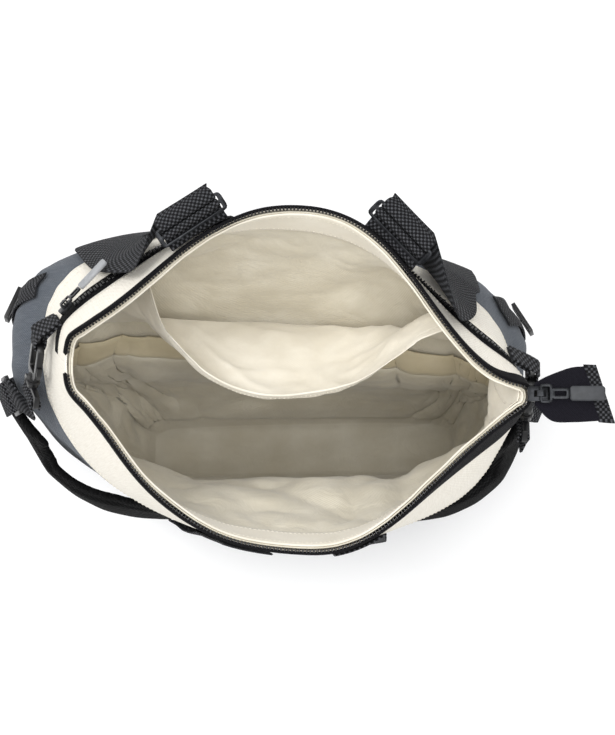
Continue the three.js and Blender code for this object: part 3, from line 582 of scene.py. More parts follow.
def along_line(points, out, pitch):
    """Places at an even pitch along a line, each with its middle, direction, outward and side way."""
    steps = np.linalg.norm(np.diff(points, axis=0), axis=1)
    run = np.concatenate([[0], np.cumsum(steps)])
    count = max(int(run[-1] / pitch), 2)
    at = (np.arange(count) + 0.5) * run[-1] / count

    def read(places, values, wanted):
        return np.stack([np.interp(wanted, places, values[:, k]) for k in range(3)], -1)

    way = unit(read(run, points, at + 0.3) - read(run, points, at - 0.3))
    face = unit(read(np.linspace(0, 1, len(out)), out, at / run[-1]))
    return zip(read(run, points, at), way, face, unit(np.cross(way, face)))


def sew(name, lines, outs, pitch=3.4, length=2.5, width=0.75, height=0.42):
    """Rows of stitches; each line has points and the outward direction at each."""
    points = []
    faces = []
    for line, out in zip(lines, outs):
        for m, w, f, d in along_line(line, out, pitch):
            first = len(points)
            points += [m - w * length / 2, m + w * length / 2]
            points += [m + d * width / 2, m + f * height, m - d * width / 2, m - f * height / 2]
            for k in range(4):
                here, after = first + 2 + k, first + 2 + (k + 1) % 4
                faces += [(first, here, after), (first + 1, after, here)]
    piece = mesh_object(name, place(np.array(points)), faces, thread_material)
    normals_out(piece)
    return piece


def normals_out(piece):
    shape = bmesh.new()
    shape.from_mesh(piece.data)
    bmesh.ops.recalc_face_normals(shape, faces=shape.faces)
    shape.to_mesh(piece.data)
    shape.free()


def wall_line(wall, s, v, offset):
    s, v = np.broadcast_arrays(np.asarray(s, float), np.asarray(v, float))
    line = wall.point(s, v, offset)
    out = wall.point(s, v, offset + 1.0) - line
    return line, out


# Cream panels
# Natural cotton canvas above the slate: two strips with the pocket zip between them, and one back panel.
side_gap = 0.0006
level_gap = 0.0006
pocket_zip_level = 0.905
zip_band = 0.02
front_span = (side_gap, 1 - side_gap)
back_span = (1 + side_gap, 2 - side_gap)
slot_low = pocket_zip_level - zip_band
slot_high = pocket_zip_level + zip_band

# Cream canvas: unbleached cotton, warm white with faint seed flecks
cream_canvas = canvas_material(
    "unbleached_cotton_canvas", [(0.25, "#DDD7CA"), (0.5, "#E6E1D6"), (0.75, "#EEEAE0")], 1.2, 0.4,
    0.92, 0.1,
)
seam_bottom = seam_level + level_gap
strips = [
    ("front_lower_strip", front_span, (seam_bottom, slot_low)),
    ("front_top_strip", front_span, (slot_high, 1)),
    ("back_upper_panel", back_span, (seam_bottom, 1)),
]
for node, span, levels in strips:
    strip = wall_panel("cream_" + node, shell, span, levels, 0.0, canvas_thickness, cream_canvas)
    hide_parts(node)

ring_places = np.linspace(0, 2, 500)
half_places = np.linspace(0.01, 0.99, 260)
stitch_rows = [
    (ring_places, seam_level + 0.008),
    (ring_places, seam_level + 0.026),
    (half_places, slot_low - 0.007),
    (half_places, slot_high + 0.007),
]
seam_lines = [wall_line(shell, places, level, 0.1) for places, level in stitch_rows]
sew("panel_stitches", [line for line, _ in seam_lines], [out for _, out in seam_lines])

# Pocket zip
# A closed moulded-tooth zip sewn flat between the front strips, its tape black polyester twill.
def twill_material(name, stops, pitch, bump):
    """Polyester zip tape: fine diagonal ribs, drawn at twice their real pitch, slightly shiny."""
    material, tree = start_material(name)
    uv = add_node(tree, "ShaderNodeUVMap", {"uv_map": "cloth"}).outputs[0]
    parts = add_node(tree, "ShaderNodeSeparateXYZ", {}, {0: uv}).outputs
    leaning = maths(tree, "ADD", parts[0], parts[1])
    rib = maths(tree, "SINE", maths(tree, "MULTIPLY", leaning, 2 * math.pi / pitch))
    end_material(tree, {
        "Base Color": noise_colour(tree, uv, 0.8, stops),
        "Roughness": 0.8,
        "Specular IOR Level": 0.15,
        "Normal": relief(tree, bump, 0.0004, rib),
    })
    return material


zip_tape = twill_material("polyester_zip_tape_twill", [(0.35, "#08080A"), (0.65, "#100F13")], 1.6, 0.6)

# Teeth: injection-moulded acetal, black and half glossy, so each one catches a small light
tooth_plastic = plain_material(
    "moulded_acetal_teeth", 400.0, [(0.3, "#09090A"), (0.7, "#111113")],
    {"Roughness": 0.3, "Specular IOR Level": 0.35},
)

tooth_pitch = 2.7
tooth_shape = [
    (-0.5, -0.5, 0.0), (0.5, -0.5, 0.0), (0.5, 0.5, 0.0), (-0.5, 0.5, 0.0),
    (-0.5, -0.5, 0.6), (0.5, -0.5, 0.6), (0.5, 0.5, 0.6), (-0.5, 0.5, 0.6),
    (-0.26, -0.4, 1.0), (0.26, -0.4, 1.0), (0.26, 0.4, 1.0), (-0.26, 0.4, 1.0),
]
tooth_faces = [
    (3, 2, 1, 0), (0, 1, 5, 4), (1, 2, 6, 5), (2, 3, 7, 6), (3, 0, 4, 7),
    (4, 5, 9, 8), (5, 6, 10, 9), (6, 7, 11, 10), (7, 4, 8, 11), (8, 9, 10, 11),
]


def teeth(name, line, out, size, shift_every_other=0.0):
    """A row of teeth along a line; size is length along, width across and height."""
    points = []
    faces = []
    for i, (m, w, f, d) in enumerate(along_line(line, out, tooth_pitch)):
        first = len(points)
        start = m + d * (shift_every_other if i % 2 else -shift_every_other)
        points += [start + w * a * size[0] + d * b * size[1] + f * c * size[2] for a, b, c in tooth_shape]
        faces += [tuple(first + k for k in face_ids) for face_ids in tooth_faces]
    piece = mesh_object(name, place(np.array(points)), faces, tooth_plastic)
    normals_out(piece)
    piece.data.shade_flat()
    return piece


pocket_tape_levels = (slot_low + level_gap, slot_high - level_gap)
pocket_tape = wall_panel(
    "pocket_tape", shell, front_span, pocket_tape_levels, -layer_gap, 1.0, zip_tape, step=2.2
)
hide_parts("pocket_zip_tape")
pocket_zip_places = np.linspace(0.13, 0.885, 400)
pocket_line, pocket_out = wall_line(shell, pocket_zip_places, pocket_zip_level, -0.2)
pocket_teeth = teeth("pocket_teeth", pocket_line, pocket_out, (1.7, 4.6, 1.7), 0.9)
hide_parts("pocket_zip_chain")

# Lining
# A loose inner bag of thin polyester-cotton, cut a little too big, so that it falls in creases.
lining_thickness = 1.2
lining_inset = 2.5
lining_dip = 1.4
lining_sections = table(section_columns, [
    (0.012, -0.01, -0.18, 0.64, 0.11, 0.12, 0.02, 6, 6, 6, 6),
    (0.2, -0.03, -0.09, 0.78, 0.2, 0.29, 0, 5, 5, 2.8, 3),
    (0.46, -0.06, -0.02, 0.89, 0.165, 0.375, -0.02, 5, 4, 2.3, 2.4),
    (0.62, -0.06, 0.05, 0.9, 0.3, 0.44, -0.03, 4, 3, 2, 2.1),
    (0.78, -0.054, 0.07, 0.82, 0.41, 0.58, -0.07, 2.5, 2.2, 2.15, 2.25),
])
lining_folds = table(fold_columns, [
    (0.2, 0.32, 0.05, 0.22, -5),
    (0.36, 0.24, 0.05, 0.18, -6),
    (0.62, 0.26, 0.06, 0.18, -6),
    (0.82, 0.34, 0.05, 0.2, -5),
    (1.2, 0.5, 0.04, 0.22, -4),
    (1.5, 0.4, 0.09, 0.18, -4),
    (1.78, 0.5, 0.04, 0.22, -4),
])


def lining_rim(s):
    edge = shell_firm.point(s, 1.0, -lining_inset)
    return edge - np.array([0, 0, lining_dip])


def creases(seed, cells_around, cells_up, s, v):
    """Sharp-bottomed creases: the noise folded where it crosses nought."""
    return 1 - 2 * np.minimum(np.abs(soft_noise(seed, cells_around, cells_up, s, v)) * 1.6, 1)


def lining_wrinkles(s, v):
    """Broad slack first, then long slanting folds, then short creases between them."""
    loose = ease(0.0, 0.12, v) * (1 - 0.85 * ease(0.8, 0.92, v))
    bent_s = s + 0.035 * soft_noise(24, 14, 4, s, v)
    bent_v = v + 0.05 * soft_noise(25, 14, 4, s, v)
    lean = bent_s + 0.16 * bent_v
    broad = 3.2 * soft_noise(21, 16, 5, lean, bent_v)
    long_folds = 3.2 * creases(22, 22, 5, lean, bent_v)
    short_folds = 2.0 * creases(23, 44, 13, bent_s - 0.2 * bent_v, bent_v)
    crush = 0.8 * creases(26, 84, 28, s, v)
    return loose * (broad + long_folds + short_folds + crush - 4.4)


liner = soft_wall(lining_sections, lining_folds, lining_rim, lining_wrinkles)


def lining_material(name, stops, bump):
    """Thin plain-woven lining: slightly shiny, with fine crush marks too small to model."""
    material, tree = start_material(name)
    at = object_place(tree)
    colour = noise_colour(tree, at, 26.0, stops, 4.0)
    height, _ = weave(tree, 1.0, 1.0)
    crush = noise(tree, at, 13.0, 4.0, "RIDGED_MULTIFRACTAL", Roughness=0.5, Distortion=0.8)
    slack = noise(tree, at, 38.0, 4.0, Roughness=0.55, Distortion=1.0)
    threads = maths(tree, "MULTIPLY", height, 0.04)
    total = maths(tree, "ADD", maths(tree, "ADD", crush, slack), threads)
    end_material(tree, {
        "Base Color": colour,
        "Roughness": 0.7,
        "Sheen Weight": 0.3,
        "Specular IOR Level": 0.3,
        "Normal": relief(tree, bump, 0.004, total),
    })
    return material


lining_cloth = lining_material(
    "crushed_polycotton_lining", [(0.3, "#C6BFAD"), (0.55, "#CFC9B9"), (0.75, "#D8D3C5")], 0.5
)
lining = cup("loose_lining", liner, 1.0, lining_thickness, lining_thickness, lining_cloth, 3.2)
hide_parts("lining")

# Facings
# Bands of cream twill inside the mouth, which carry the zip and cover the raw edge of the lining.
facing_cloth = lining_material(
    "cotton_twill_facing", [(0.3, "#DAD3C3"), (0.55, "#E2DCCE"), (0.8, "#EAE5D9")], 0.12
)
inside = -lining_thickness - layer_gap
facing_foot = 0.9
for node, span in (("front_facing", front_span), ("back_facing", back_span)):
    facing = wall_panel(
        "twill_" + node, liner, span, (facing_foot, 1), inside, canvas_thickness, facing_cloth
    )
    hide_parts(node)
facing_stitches = []
for rise in (0.008, 0.085):
    for start, end in (front_span, back_span):
        places = np.linspace(start + 0.01, end - 0.01, 260)
        line, out = wall_line(liner, places, facing_foot + rise, inside - canvas_thickness)
        facing_stitches.append((line, -out))
sew("facing_stitches", [line for line, _ in facing_stitches], [out for _, out in facing_stitches])

# End gusset: lighter twill that hangs inside where the right end of the zip draws the mouth together
gusset_top = 0.985
gusset_middle = 0.58
gusset_flare = 0.1
gusset_wave = 0.008
gusset_thickness = 0.8
gusset_s, gusset_up = np.meshgrid(np.linspace(0.83, 1.13, 74), np.linspace(0, 1, 50))
gusset_foot = gusset_middle + gusset_flare * np.abs(gusset_s - 1.0) + gusset_wave * np.sin(gusset_s * 60)
gusset_v = gusset_foot + (gusset_top - gusset_foot) * gusset_up
gusset_depth = inside - canvas_thickness - 0.6
gusset = cloth_solid(
    "twill_end_gusset",
    liner.point(gusset_s, gusset_v, gusset_depth),
    liner.point(gusset_s, gusset_v, gusset_depth - gusset_thickness),
    facing_cloth,
    np.stack([gusset_s * around_length, gusset_v * bag_height], -1),
)

# Slip pocket
# A flat pocket sewn on the front lining wall, with a wide hem that stands a little open.
slip_span = (0.1, 0.9)
slip_levels = (0.06, 0.47)
slip_hem_levels = (0.475, 0.52)
slip_slack = 3.0


def slip_belly(along, up):
    return -slip_slack * np.sin(np.pi * along) * up


slip_pocket = wall_panel(
    "slip_pocket_cloth", liner, slip_span, slip_levels, inside - 0.4, lining_thickness, lining_cloth,
    slip_belly,
)
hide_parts("slip_pocket")

# Hem band: a folded tape of the same cotton, a little more yellow than the lining
hem_tape = lining_material(
    "folded_cotton_hem_tape", [(0.3, "#BFB497"), (0.55, "#CABFA4"), (0.8, "#D4CAB2")], 0.15
)
slip_hem = wall_panel(
    "slip_hem_cloth", liner, slip_span, slip_hem_levels, inside - 0.8, 2.0, hem_tape,
    lambda along, up: slip_belly(along, 1.0), 2.6,
)
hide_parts("slip_pocket_hem")

# Drop pocket
# An open pouch of the same twill, hung from the front facing, its top edge a wavy double-folded hem.
pouch_start = 0.29
pouch_end = 0.78
pouch_gape = 126.0
pouch_hem = 0.885
pouch_foot = 0.56
pouch_wave = 4.0
pouch_length = 300.0
pouch_depth = 130.0
pouch_across = table("across gape wave", [
    (0, 0, 0), (0.06, 0.4, 0.4), (0.12, 0.6, 1), (0.22, 0.84, -1), (0.36, 1, 0.6),
    (0.5, 0.97, -0.8), (0.64, 0.82, 0.8), (0.76, 0.53, -0.8), (0.86, 0.26, 0.5), (1, 0, 0),
])
pouch_up = table("up gape", [(0, 0.03), (0.3, 0.3), (0.6, 0.72), (0.86, 0.98), (1, 1)])


def pouch_point(a, b, offset):
    s = pouch_start + (pouch_end - pouch_start) * a
    v = pouch_foot + (pouch_hem - pouch_foot) * b
    wall = liner.point(s, v, -lining_thickness - layer_gap - offset)
    open_across = read_table(pouch_across, "across", a, "gape")
    gape = pouch_gape * open_across * read_table(pouch_up, "up", b, "gape")
    wave = pouch_wave * read_table(pouch_across, "across", a, "wave") * b
    slack = np.sin(np.pi * np.clip(a, 0, 1)) * np.sin(np.pi * np.clip(b, 0, 1))
    slanting = creases(32, 34, 12, 2 * a + 0.2 * b, b)
    crumple = slack * (1.8 * soft_noise(31, 22, 7, 2 * a, b) + 0.9 * slanting)
    return wall + np.stack([0 * gape, -gape + crumple, wave + 0 * gape], -1)


def pouch_part(name, low, high, rows, columns, near, far, node):
    a, b = np.meshgrid(np.linspace(0, 1, columns), np.linspace(low, high, rows))
    uv = np.stack([a * pouch_length, b * pouch_depth], -1)
    piece = cloth_solid(name, pouch_point(a, b, far), pouch_point(a, b, near), facing_cloth, uv)
    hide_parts(node)


pouch_part("drop_pocket_cloth", 0, 0.93, 44, 120, 0.6, 0.6 + lining_thickness, "drop_pocket")
pouch_part("drop_pocket_hem_cloth", 0.938, 1, 8, 160, 0.3, 2.3, "drop_pocket_hem")
hem_a = np.linspace(0.02, 0.98, 260)
hem_stitch_up = np.full_like(hem_a, 0.952)
hem_line = pouch_point(hem_a, hem_stitch_up, 2.45)
hem_inner = pouch_point(hem_a, hem_stitch_up, 0.15)
sew("hem_stitches", [hem_line, hem_inner], [hem_line - hem_inner, hem_inner - hem_line])

# Main zip
# Open moulded-tooth zip: each tape is sewn outside its rim edge, and the teeth stand along the edge.
tape_outer = 1.3
tape_inner = 0.4
teeth_inset = 1.8
teeth_rise = 0.8
band_inset = 1.4
band_low = 0.5
band_high = 1.7
# Height of the light stitches that are painted glints on the main zip chain
glint_stitch_rise = 1.75

# How far below the rim the tape reaches, as a share of the bag's height; its right back end is wide
tape_reach = table("place reach", [
    (0, 0.009), (0.5, 0.008), (0.8, 0.01), (0.9, 0.03), (1, 0.045), (1.12, 0.06), (1.22, 0.045),
    (1.35, 0.014), (1.5, 0.008), (2, 0.009),
])
for node, span in (("main_zip_front_tape", (0.02, 0.985)), ("main_zip_back_tape", (1.015, 1.98))):
    s, down = np.meshgrid(np.linspace(span[0], span[1], 280), np.linspace(1, 0, 9))
    v = 1 - down * read_table(tape_reach, "place", s, "reach")
    tape_uv = np.stack([s * around_length, v * bag_height], -1)
    outer, inner = shell.point(s, v, tape_outer), shell.point(s, v, tape_inner)
    tape = cloth_solid("twill_" + node, outer, inner, zip_tape, tape_uv)
    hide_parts(node)


def above_rim(s, offset, rise):
    return shell.point(s, 1.0, offset) + np.array([0, 0, rise])


# Each row of teeth stands on the edge of a thin band of tape, with a row of light thread stitches on top that
# stand in for the glints along the chain: painted highlights
for node, span in (("main_zip_front_chain", (0.02, 0.975)), ("main_zip_back_chain", (1.025, 1.98))):
    s = np.linspace(span[0], span[1], 420)
    upward = np.tile([0.0, 0.0, 1.0], (len(s), 1))
    chain = teeth(node + "_teeth", above_rim(s, -teeth_inset, teeth_rise), upward, (1.4, 2.6, 1.7))
    rises = (band_low, band_high)
    band_outer = np.stack([above_rim(s, tape_outer, rise) for rise in rises])
    band_inner = np.stack([above_rim(s, -band_inset, rise) for rise in rises])
    band_up = np.array([[0.0], [band_high - band_low]])
    band_uv = np.stack(np.broadcast_arrays(s[None, :] * around_length, band_up), -1)
    band = cloth_solid(node + "_band", band_outer, band_inner, zip_tape, band_uv)
    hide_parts(node)
    # Light thread dots along the band: painted highlights where the chain glints
    seam = above_rim(s, -0.1, glint_stitch_rise)
    glint_dot_stitches = sew(node + "_stitches", [seam], [upward], 2.4, 1.3, 0.8, 0.4)

# Zip tail
# The two tapes run on together past the mouth and end in a folded, stitched webbing tab.
# Rows: far edge x and y, near edge x and y, height, all from the right end of the mouth
tail_rows = [
    (2.2, 8, 2.2, -8, 1.9), (12, 13, 14, -19, 1.8), (28, 19, 30, -20, 0.6), (38, 20.5, 48, -19, -2),
    (40, 20.8, 50, -19, -2.4),
]
tail_tab_rows = [(40.6, 21, 50.6, -19, -2.6), (44, 21, 55.5, -19.4, -3.4), (47.5, 21, 60, -19.6, -4.4)]


def densify(points, factor):
    """Smooth line through points, with so many steps for each span; works along the first axis."""
    points = np.asarray(points, float)
    knots = np.arange(len(points))
    return smooth_read(knots, points, np.linspace(0, len(points) - 1, (len(points) - 1) * factor + 1))


def tail_part(name, rows, thickness, sink, material, node, ripple):
    rows = densify(rows, 8)
    across = np.linspace(0, 1, 22)[:, None]
    x = mouth_right[0] + rows[:, 0] + (rows[:, 2] - rows[:, 0]) * across
    y = mouth_right[1] + rows[:, 1] + (rows[:, 3] - rows[:, 1]) * across
    flutter = np.sin(across * 9 + rows[:, 0] * 0.12)
    wave = ripple * flutter * np.clip(rows[:, 0] / 30, 0, 1)
    z = bag_height + rows[:, 4] - sink + wave
    under = np.stack([x, y, z], -1)
    over = under + np.array([0, 0, thickness])
    uv = np.stack([x, y], -1)
    piece = cloth_solid(name, over, under, material, uv)
    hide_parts(node)


def webbing_material(name, stops, pitch, bump):
    """Coarse near-black polyester webbing in a basket weave, grey where the weave bulges and black where it
    dips: painted highlight and painted shade, varied at random along the yarn.
    """
    material, tree = start_material(name)
    height, uv = weave(tree, pitch, pitch)
    # Weave height sets the colour: painted highlight on the bulges, painted shade in the dips
    cells = add_node(tree, "ShaderNodeMapRange", {}, {0: height, 1: -0.5, 2: 0.5, 3: 0.0, 4: 1.0})
    yarn = noise(tree, uv, 1.1, 3.0, Roughness=0.7)
    share = maths(tree, "MULTIPLY", cells.outputs[0], yarn)
    end_material(tree, {
        "Base Color": colour_ramp(tree, share, stops),
        "Roughness": 0.85,
        "Specular IOR Level": 0.2,
        "Normal": relief(tree, bump, 0.0008, maths(tree, "ADD", height, yarn)),
    })
    return material


# Webbing: each cell of the weave is 2 mm wide, black where it dips as painted shade and grey where it bulges
# as painted highlight
black_webbing = webbing_material(
    "basket_woven_webbing", [(0.0, "#0C0C0E"), (0.2, "#1A1B1D"), (0.38, "#323336"), (0.55, "#56575B")],
    2.0, 0.9,
)
navy_twill = twill_material("navy_tail_twill", [(0.3, "#100F16"), (0.7, "#1B1A22")], 1.8, 0.8)
tail_part("main_tail_tape", tail_rows, 1.4, 1.0, navy_twill, "main_zip_tail", 0.5)
tail_part(
    "main_tail_tab", tail_tab_rows, 3.4, 2.0, black_webbing, "main_zip_tail_tab", 0.0
)

# Handles
# Flat basket-woven webbing. Each front leg is sewn to the bag and runs up through a metal slider bar,
# and one loop hangs from the two bars down the front. The back handle is one sewn loop.
handle_width = 48.0
leg_thickness = 1.2
webbing_thickness = 1.6
leg_levels = [(0.79, 0.8), (0.84, 1), (0.87, 1.8), (0.89, 2.5), (0.925, 2.7), (0.965, 2.6), (0.995, 3)]
leg_turn = [(-2.3, -4), (-2.3, -1), (-2.2, 1.9), (0, 3.2), (2.2, 1.9), (2.3, -1), (2.3, -7)]
loop_turn = [
    (4.3, -11), (4.3, -4), (4.3, 0), (4.7, 2), (6.5, 2.9), (8.6, 2.4), (11.5, 0.4), (14, -3, 0.95),
    (15, -8, 0.86),
]
handle_fall = [
    (-116, 0.94, 11), (-140, 0.88, 7), (-154, 0.79, 5), (-150, 0.67, 4), (-118, 0.56, 4), (-62, 0.5, 4),
    (-10, 0.485, 4), (42, 0.5, 4), (88, 0.56, 4), (112, 0.67, 4), (112, 0.79, 5), (105, 0.88, 7),
    (90, 0.94, 11),
]
bar_places = {"left": -80.0, "right": 60.0}
bar_out = 13.0
bar_rise = 7.0
bar_tilt = 0.35


def place_at(wall, x, v, front):
    """Place around at which the wall reaches an x, on its front or its back."""
    low, high = (0.02, 0.98) if front else (1.98, 1.02)
    for _ in range(30):
        middle = (low + high) / 2
        if wall.point(middle, v)[0] < x:
            low = middle
        else:
            high = middle
    return (low + high) / 2


def frame_matrix(origin, x_way, z_way):
    x = unit(np.asarray(x_way, float))
    z = unit(z_way - x * np.dot(z_way, x))
    return np.stack([x, np.cross(z, x), z, np.asarray(origin, float)])


def in_frame(matrix, x, y, z):
    x, y, z = np.broadcast_arrays(x, y, z)
    return x[..., None] * matrix[0] + y[..., None] * matrix[1] + z[..., None] * matrix[2] + matrix[3]


def bar_frame(x):
    s = place_at(shell_firm, x, 1.0, True)
    along = shell_firm.point(s + 0.03, 1.0) - shell_firm.point(s - 0.03, 1.0)
    along = unit(along * [1, 1, 0])
    out = np.array([-along[1], along[0], 0])
    up = np.array([0.0, 0.0, 1.0])
    origin = shell_firm.point(s, 1.0) + out * bar_out + up * bar_rise
    return frame_matrix(origin, along, up * math.cos(bar_tilt) - out * math.sin(bar_tilt))


def turn_stations(matrix, path, thickness, width, turned=1):
    """Webbing that turns over a bar; each row is way, height and the share of its width."""

    def station(start, out, wide):
        return lambda across, lift: in_frame(
            matrix, turned * across * wide, start[0] + out[0] * lift, start[1] + out[1] * lift
        )

    stations = []
    path = [tuple(row) + (1.0,) * (3 - len(row)) for row in path]
    for i, (way, height, share) in enumerate(path):
        before, after = path[max(i - 1, 0)], path[min(i + 1, len(path) - 1)]
        length = math.hypot(after[0] - before[0], after[1] - before[1])
        out = (-(after[1] - before[1]) / length, (after[0] - before[0]) / length)
        start = (way - out[0] * thickness / 2, height - out[1] * thickness / 2)
        stations.append(station(start, out, width * share))
    return stations


def catmull(points, t):
    """Centripetal curve through points at a share t of its length in spans."""
    count = len(points)
    at = (count - 1) * t
    i = min(int(math.floor(at)), count - 2)
    weight = at - i
    p1, p2 = points[i], points[i + 1]
    p0 = points[i - 1] if i > 0 else 2 * points[0] - points[1]
    p3 = points[i + 2] if i + 2 < count else 2 * points[-1] - points[-2]
    gap = lambda a, b: float(np.dot(a - b, a - b)) ** 0.25
    d0, d1, d2 = gap(p0, p1), gap(p1, p2), gap(p2, p3)
    d1 = d1 if d1 > 1e-4 else 1.0
    d0 = d0 if d0 > 1e-4 else d1
    d2 = d2 if d2 > 1e-4 else d1
    t1 = ((p1 - p0) / d0 - (p2 - p0) / (d0 + d1) + (p2 - p1) / d1) * d1
    t2 = ((p2 - p1) / d1 - (p3 - p1) / (d1 + d2) + (p3 - p2) / d2) * d1
    square_part = -3 * p1 + 3 * p2 - 2 * t1 - t2
    cube_part = 2 * p1 - 2 * p2 + t1 + t2
    return p1 + t1 * weight + square_part * weight**2 + cube_part * weight**3


def laid_stations(rows, width, steps, wall=shell):
    """Strip lying on the wall; rows are place around, level and offset of its underside."""

    def station(s, v, offset, per_s, per_v):
        return lambda share, lift: wall.point(
            s + share * per_s, np.minimum(v + share * per_v, 0.999), offset + lift
        )

    points = [np.array(row, float) for row in rows]
    step = 0.01
    stations = []
    for i in range(steps + 1):
        t = i / steps
        s, v, offset = catmull(points, t)
        ahead, behind = catmull(points, min(t + step, 1)), catmull(points, max(t - step, 0))
        across_s = (wall.point(s + step, v) - wall.point(s - step, v)) / (2 * step)
        across_v = (wall.point(s, v + step) - wall.point(s, v - step)) / (2 * step)
        forward = unit(wall.point(ahead[0], ahead[1]) - wall.point(behind[0], behind[1]))
        side = unit(np.cross(forward, unit(np.cross(across_v, across_s))))
        per_s = np.dot(side, across_s) / np.dot(across_s, across_s)
        per_v = np.dot(side, across_v) / np.dot(across_v, across_v)
        stations.append(station(s, v, offset, per_s * width, per_v * width))
    return stations


def run_along(grid):
    """Length run along the middle column of a grid of points."""
    centre = grid[:, grid.shape[1] // 2]
    return np.concatenate([[0], np.cumsum(np.linalg.norm(np.diff(centre, axis=0), axis=1))])


def strip(name, stations, thickness, node):
    """Webbing through its stations, with the UV in millimetres along and across it."""
    across = np.linspace(-0.5, 0.5, 13)
    under = densify([station(across, 0 * across) for station in stations], 3)
    over = densify([station(across, thickness + 0 * across) for station in stations], 3)
    width = np.linalg.norm(over[len(over) // 2, 0] - over[len(over) // 2, -1])
    uv = np.stack(np.broadcast_arrays(run_along(over)[:, None], across[None, :] * width), -1)
    piece = cloth_solid(name, over, under, black_webbing, uv)
    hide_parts(node)


def leg_station(x, v, offset, width):
    s = place_at(shell_firm, x, v, True)
    per_place = np.linalg.norm(shell.point(s + 0.02, v) - shell.point(s - 0.02, v)) / 0.04
    return lambda share, lift: shell.point(s + share * width / per_place, v, offset + leg_thickness - lift)


bar_frames = {side: bar_frame(x) for side, x in bar_places.items()}
for side, x in bar_places.items():
    stations = [leg_station(x, v, offset, handle_width) for v, offset in leg_levels]
    stations += turn_stations(bar_frames[side], leg_turn, leg_thickness, handle_width)
    strip("front_leg_" + side, stations, leg_thickness, "front_handle_leg_" + side)

first_turn = turn_stations(bar_frames["left"], loop_turn, leg_thickness, handle_width, 1)
last_turn = turn_stations(bar_frames["right"], loop_turn, leg_thickness, handle_width, -1)[::-1]
fall = [(place_at(shell_firm, x, v, True), v, offset) for x, v, offset in handle_fall]
fall_stations = laid_stations(fall, handle_width, 2 * (len(fall) - 1))
strip("front_loop", first_turn + fall_stations + last_turn, leg_thickness, "front_handle_loop")

# Back handle: rows of step away from its end (in shares around the bag), level and offset.
# Below the rim it stands off the wall by the lap of the padded straps, which run under it.
back_handle_width = 40.0
back_end_level = 0.9
lap = 13.0
left_fall = [
    (0, 0.985, 2.6), (0, 0.965, 2.6), (0, 0.9, 2.8), (0.003, 0.84, 3.2), (0.005, 0.8, 5.8),
    (0.008, 0.76, 9.5), (0.012, 0.71, lap + 4), (0.012, 0.62, lap + 11), (-0.02, 0.52, lap + 13),
]
right_fall = [
    (0.02, 0.52, lap + 13), (-0.012, 0.62, lap + 12), (-0.012, 0.71, lap + 5), (-0.008, 0.76, 9.5),
    (-0.005, 0.8, 5.8), (-0.003, 0.84, 3.2), (0, 0.9, 2.8), (0, 0.965, 2.6), (0, 0.985, 2.6),
]
back_left = place_at(shell_firm, -56, back_end_level, False)
back_right = place_at(shell_firm, 38, back_end_level, False)
back_rows = [(back_left + step, v, offset) for step, v, offset in left_fall]
back_rows += [((back_left + back_right) / 2, 0.48, lap + 6)]
back_rows += [(back_right + step, v, offset) for step, v, offset in right_fall]
back_stations = laid_stations(back_rows, back_handle_width, 40)
strip("rear_handle", back_stations, webbing_thickness, "back_handle")

# Metal and plastic hardware
# Die-cast slider bars and zip sliders, moulded buckles and hooks, and rubber pull tabs.
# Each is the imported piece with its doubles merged, its flats made whole and its edges rounded.
gunmetal, gunmetal_tree = start_material("gunmetal_plated_die_casting")
metal_noise = noise(gunmetal_tree, object_place(gunmetal_tree), 220.0, 3.0, Roughness=0.6)
metal_stops = [(0.3, "#1F2022"), (0.6, "#2F3032"), (0.8, "#454649")]
metal_range = {0: metal_noise, 1: 0.3, 2: 0.7, 3: 0.28, 4: 0.45}
metal_rough = add_node(gunmetal_tree, "ShaderNodeMapRange", {}, metal_range)
end_material(gunmetal_tree, {
    "Base Color": colour_ramp(gunmetal_tree, metal_noise, metal_stops),
    "Metallic": 1.0,
    "Roughness": metal_rough.outputs[0],
})


def moulded_material(name, stops, grain, roughness):
    """Moulded plastic or rubber with a fine spark-eroded grain."""
    material, tree = start_material(name)
    at = object_place(tree)
    colour = noise_colour(tree, at, 160.0, stops)
    specks = noise(tree, at, 2200.0, 1.0)
    end_material(tree, {
        "Base Color": colour,
        "Roughness": roughness,
        "IOR": 1.5,
        "Normal": relief(tree, grain, 0.0002, specks),
    })
    return material


black_plastic = moulded_material("moulded_acetal_hardware", [(0.3, "#09090A"), (0.7, "#121214")], 0.3, 0.34)
dark_rubber = moulded_material("moulded_rubber_pull_dark", [(0.3, "#2B2D30"), (0.7, "#383A3E")], 0.4, 0.6)
grey_rubber = moulded_material("moulded_rubber_pull_grey", [(0.3, "#85878A"), (0.7, "#9A9C9F")], 0.4, 0.6)


def rounded_copy(name, node, bevel, material):
    """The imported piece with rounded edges, in its place."""
    source = frame["nodes"][node]
    mesh = source.data.copy()
    shape = bmesh.new()
    shape.from_mesh(mesh)
    bmesh.ops.remove_doubles(shape, verts=shape.verts, dist=0.00001)
    bmesh.ops.dissolve_limit(shape, angle_limit=0.02, verts=shape.verts, edges=shape.edges)
    shape.to_mesh(mesh)
    shape.free()
    mesh.materials.clear()
    mesh.materials.append(material)
    piece = bpy.data.objects.new(name, mesh)
    bpy.context.scene.collection.objects.link(piece)
    bpy.ops.object.select_all(action="DESELECT")
    bpy.context.view_layer.objects.active = piece
    piece.select_set(True)
    edge = piece.modifiers.new("edge", "BEVEL")
    edge.width = bevel * mm
    edge.segments = 2
    edge.limit_method = "ANGLE"
    edge.angle_limit = math.radians(35)
    bpy.ops.object.modifier_apply(modifier=edge.name)
    piece.data.shade_smooth()
    bpy.ops.object.shade_smooth_by_angle(angle=math.radians(40))
    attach(piece, source["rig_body"])
    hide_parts(node)


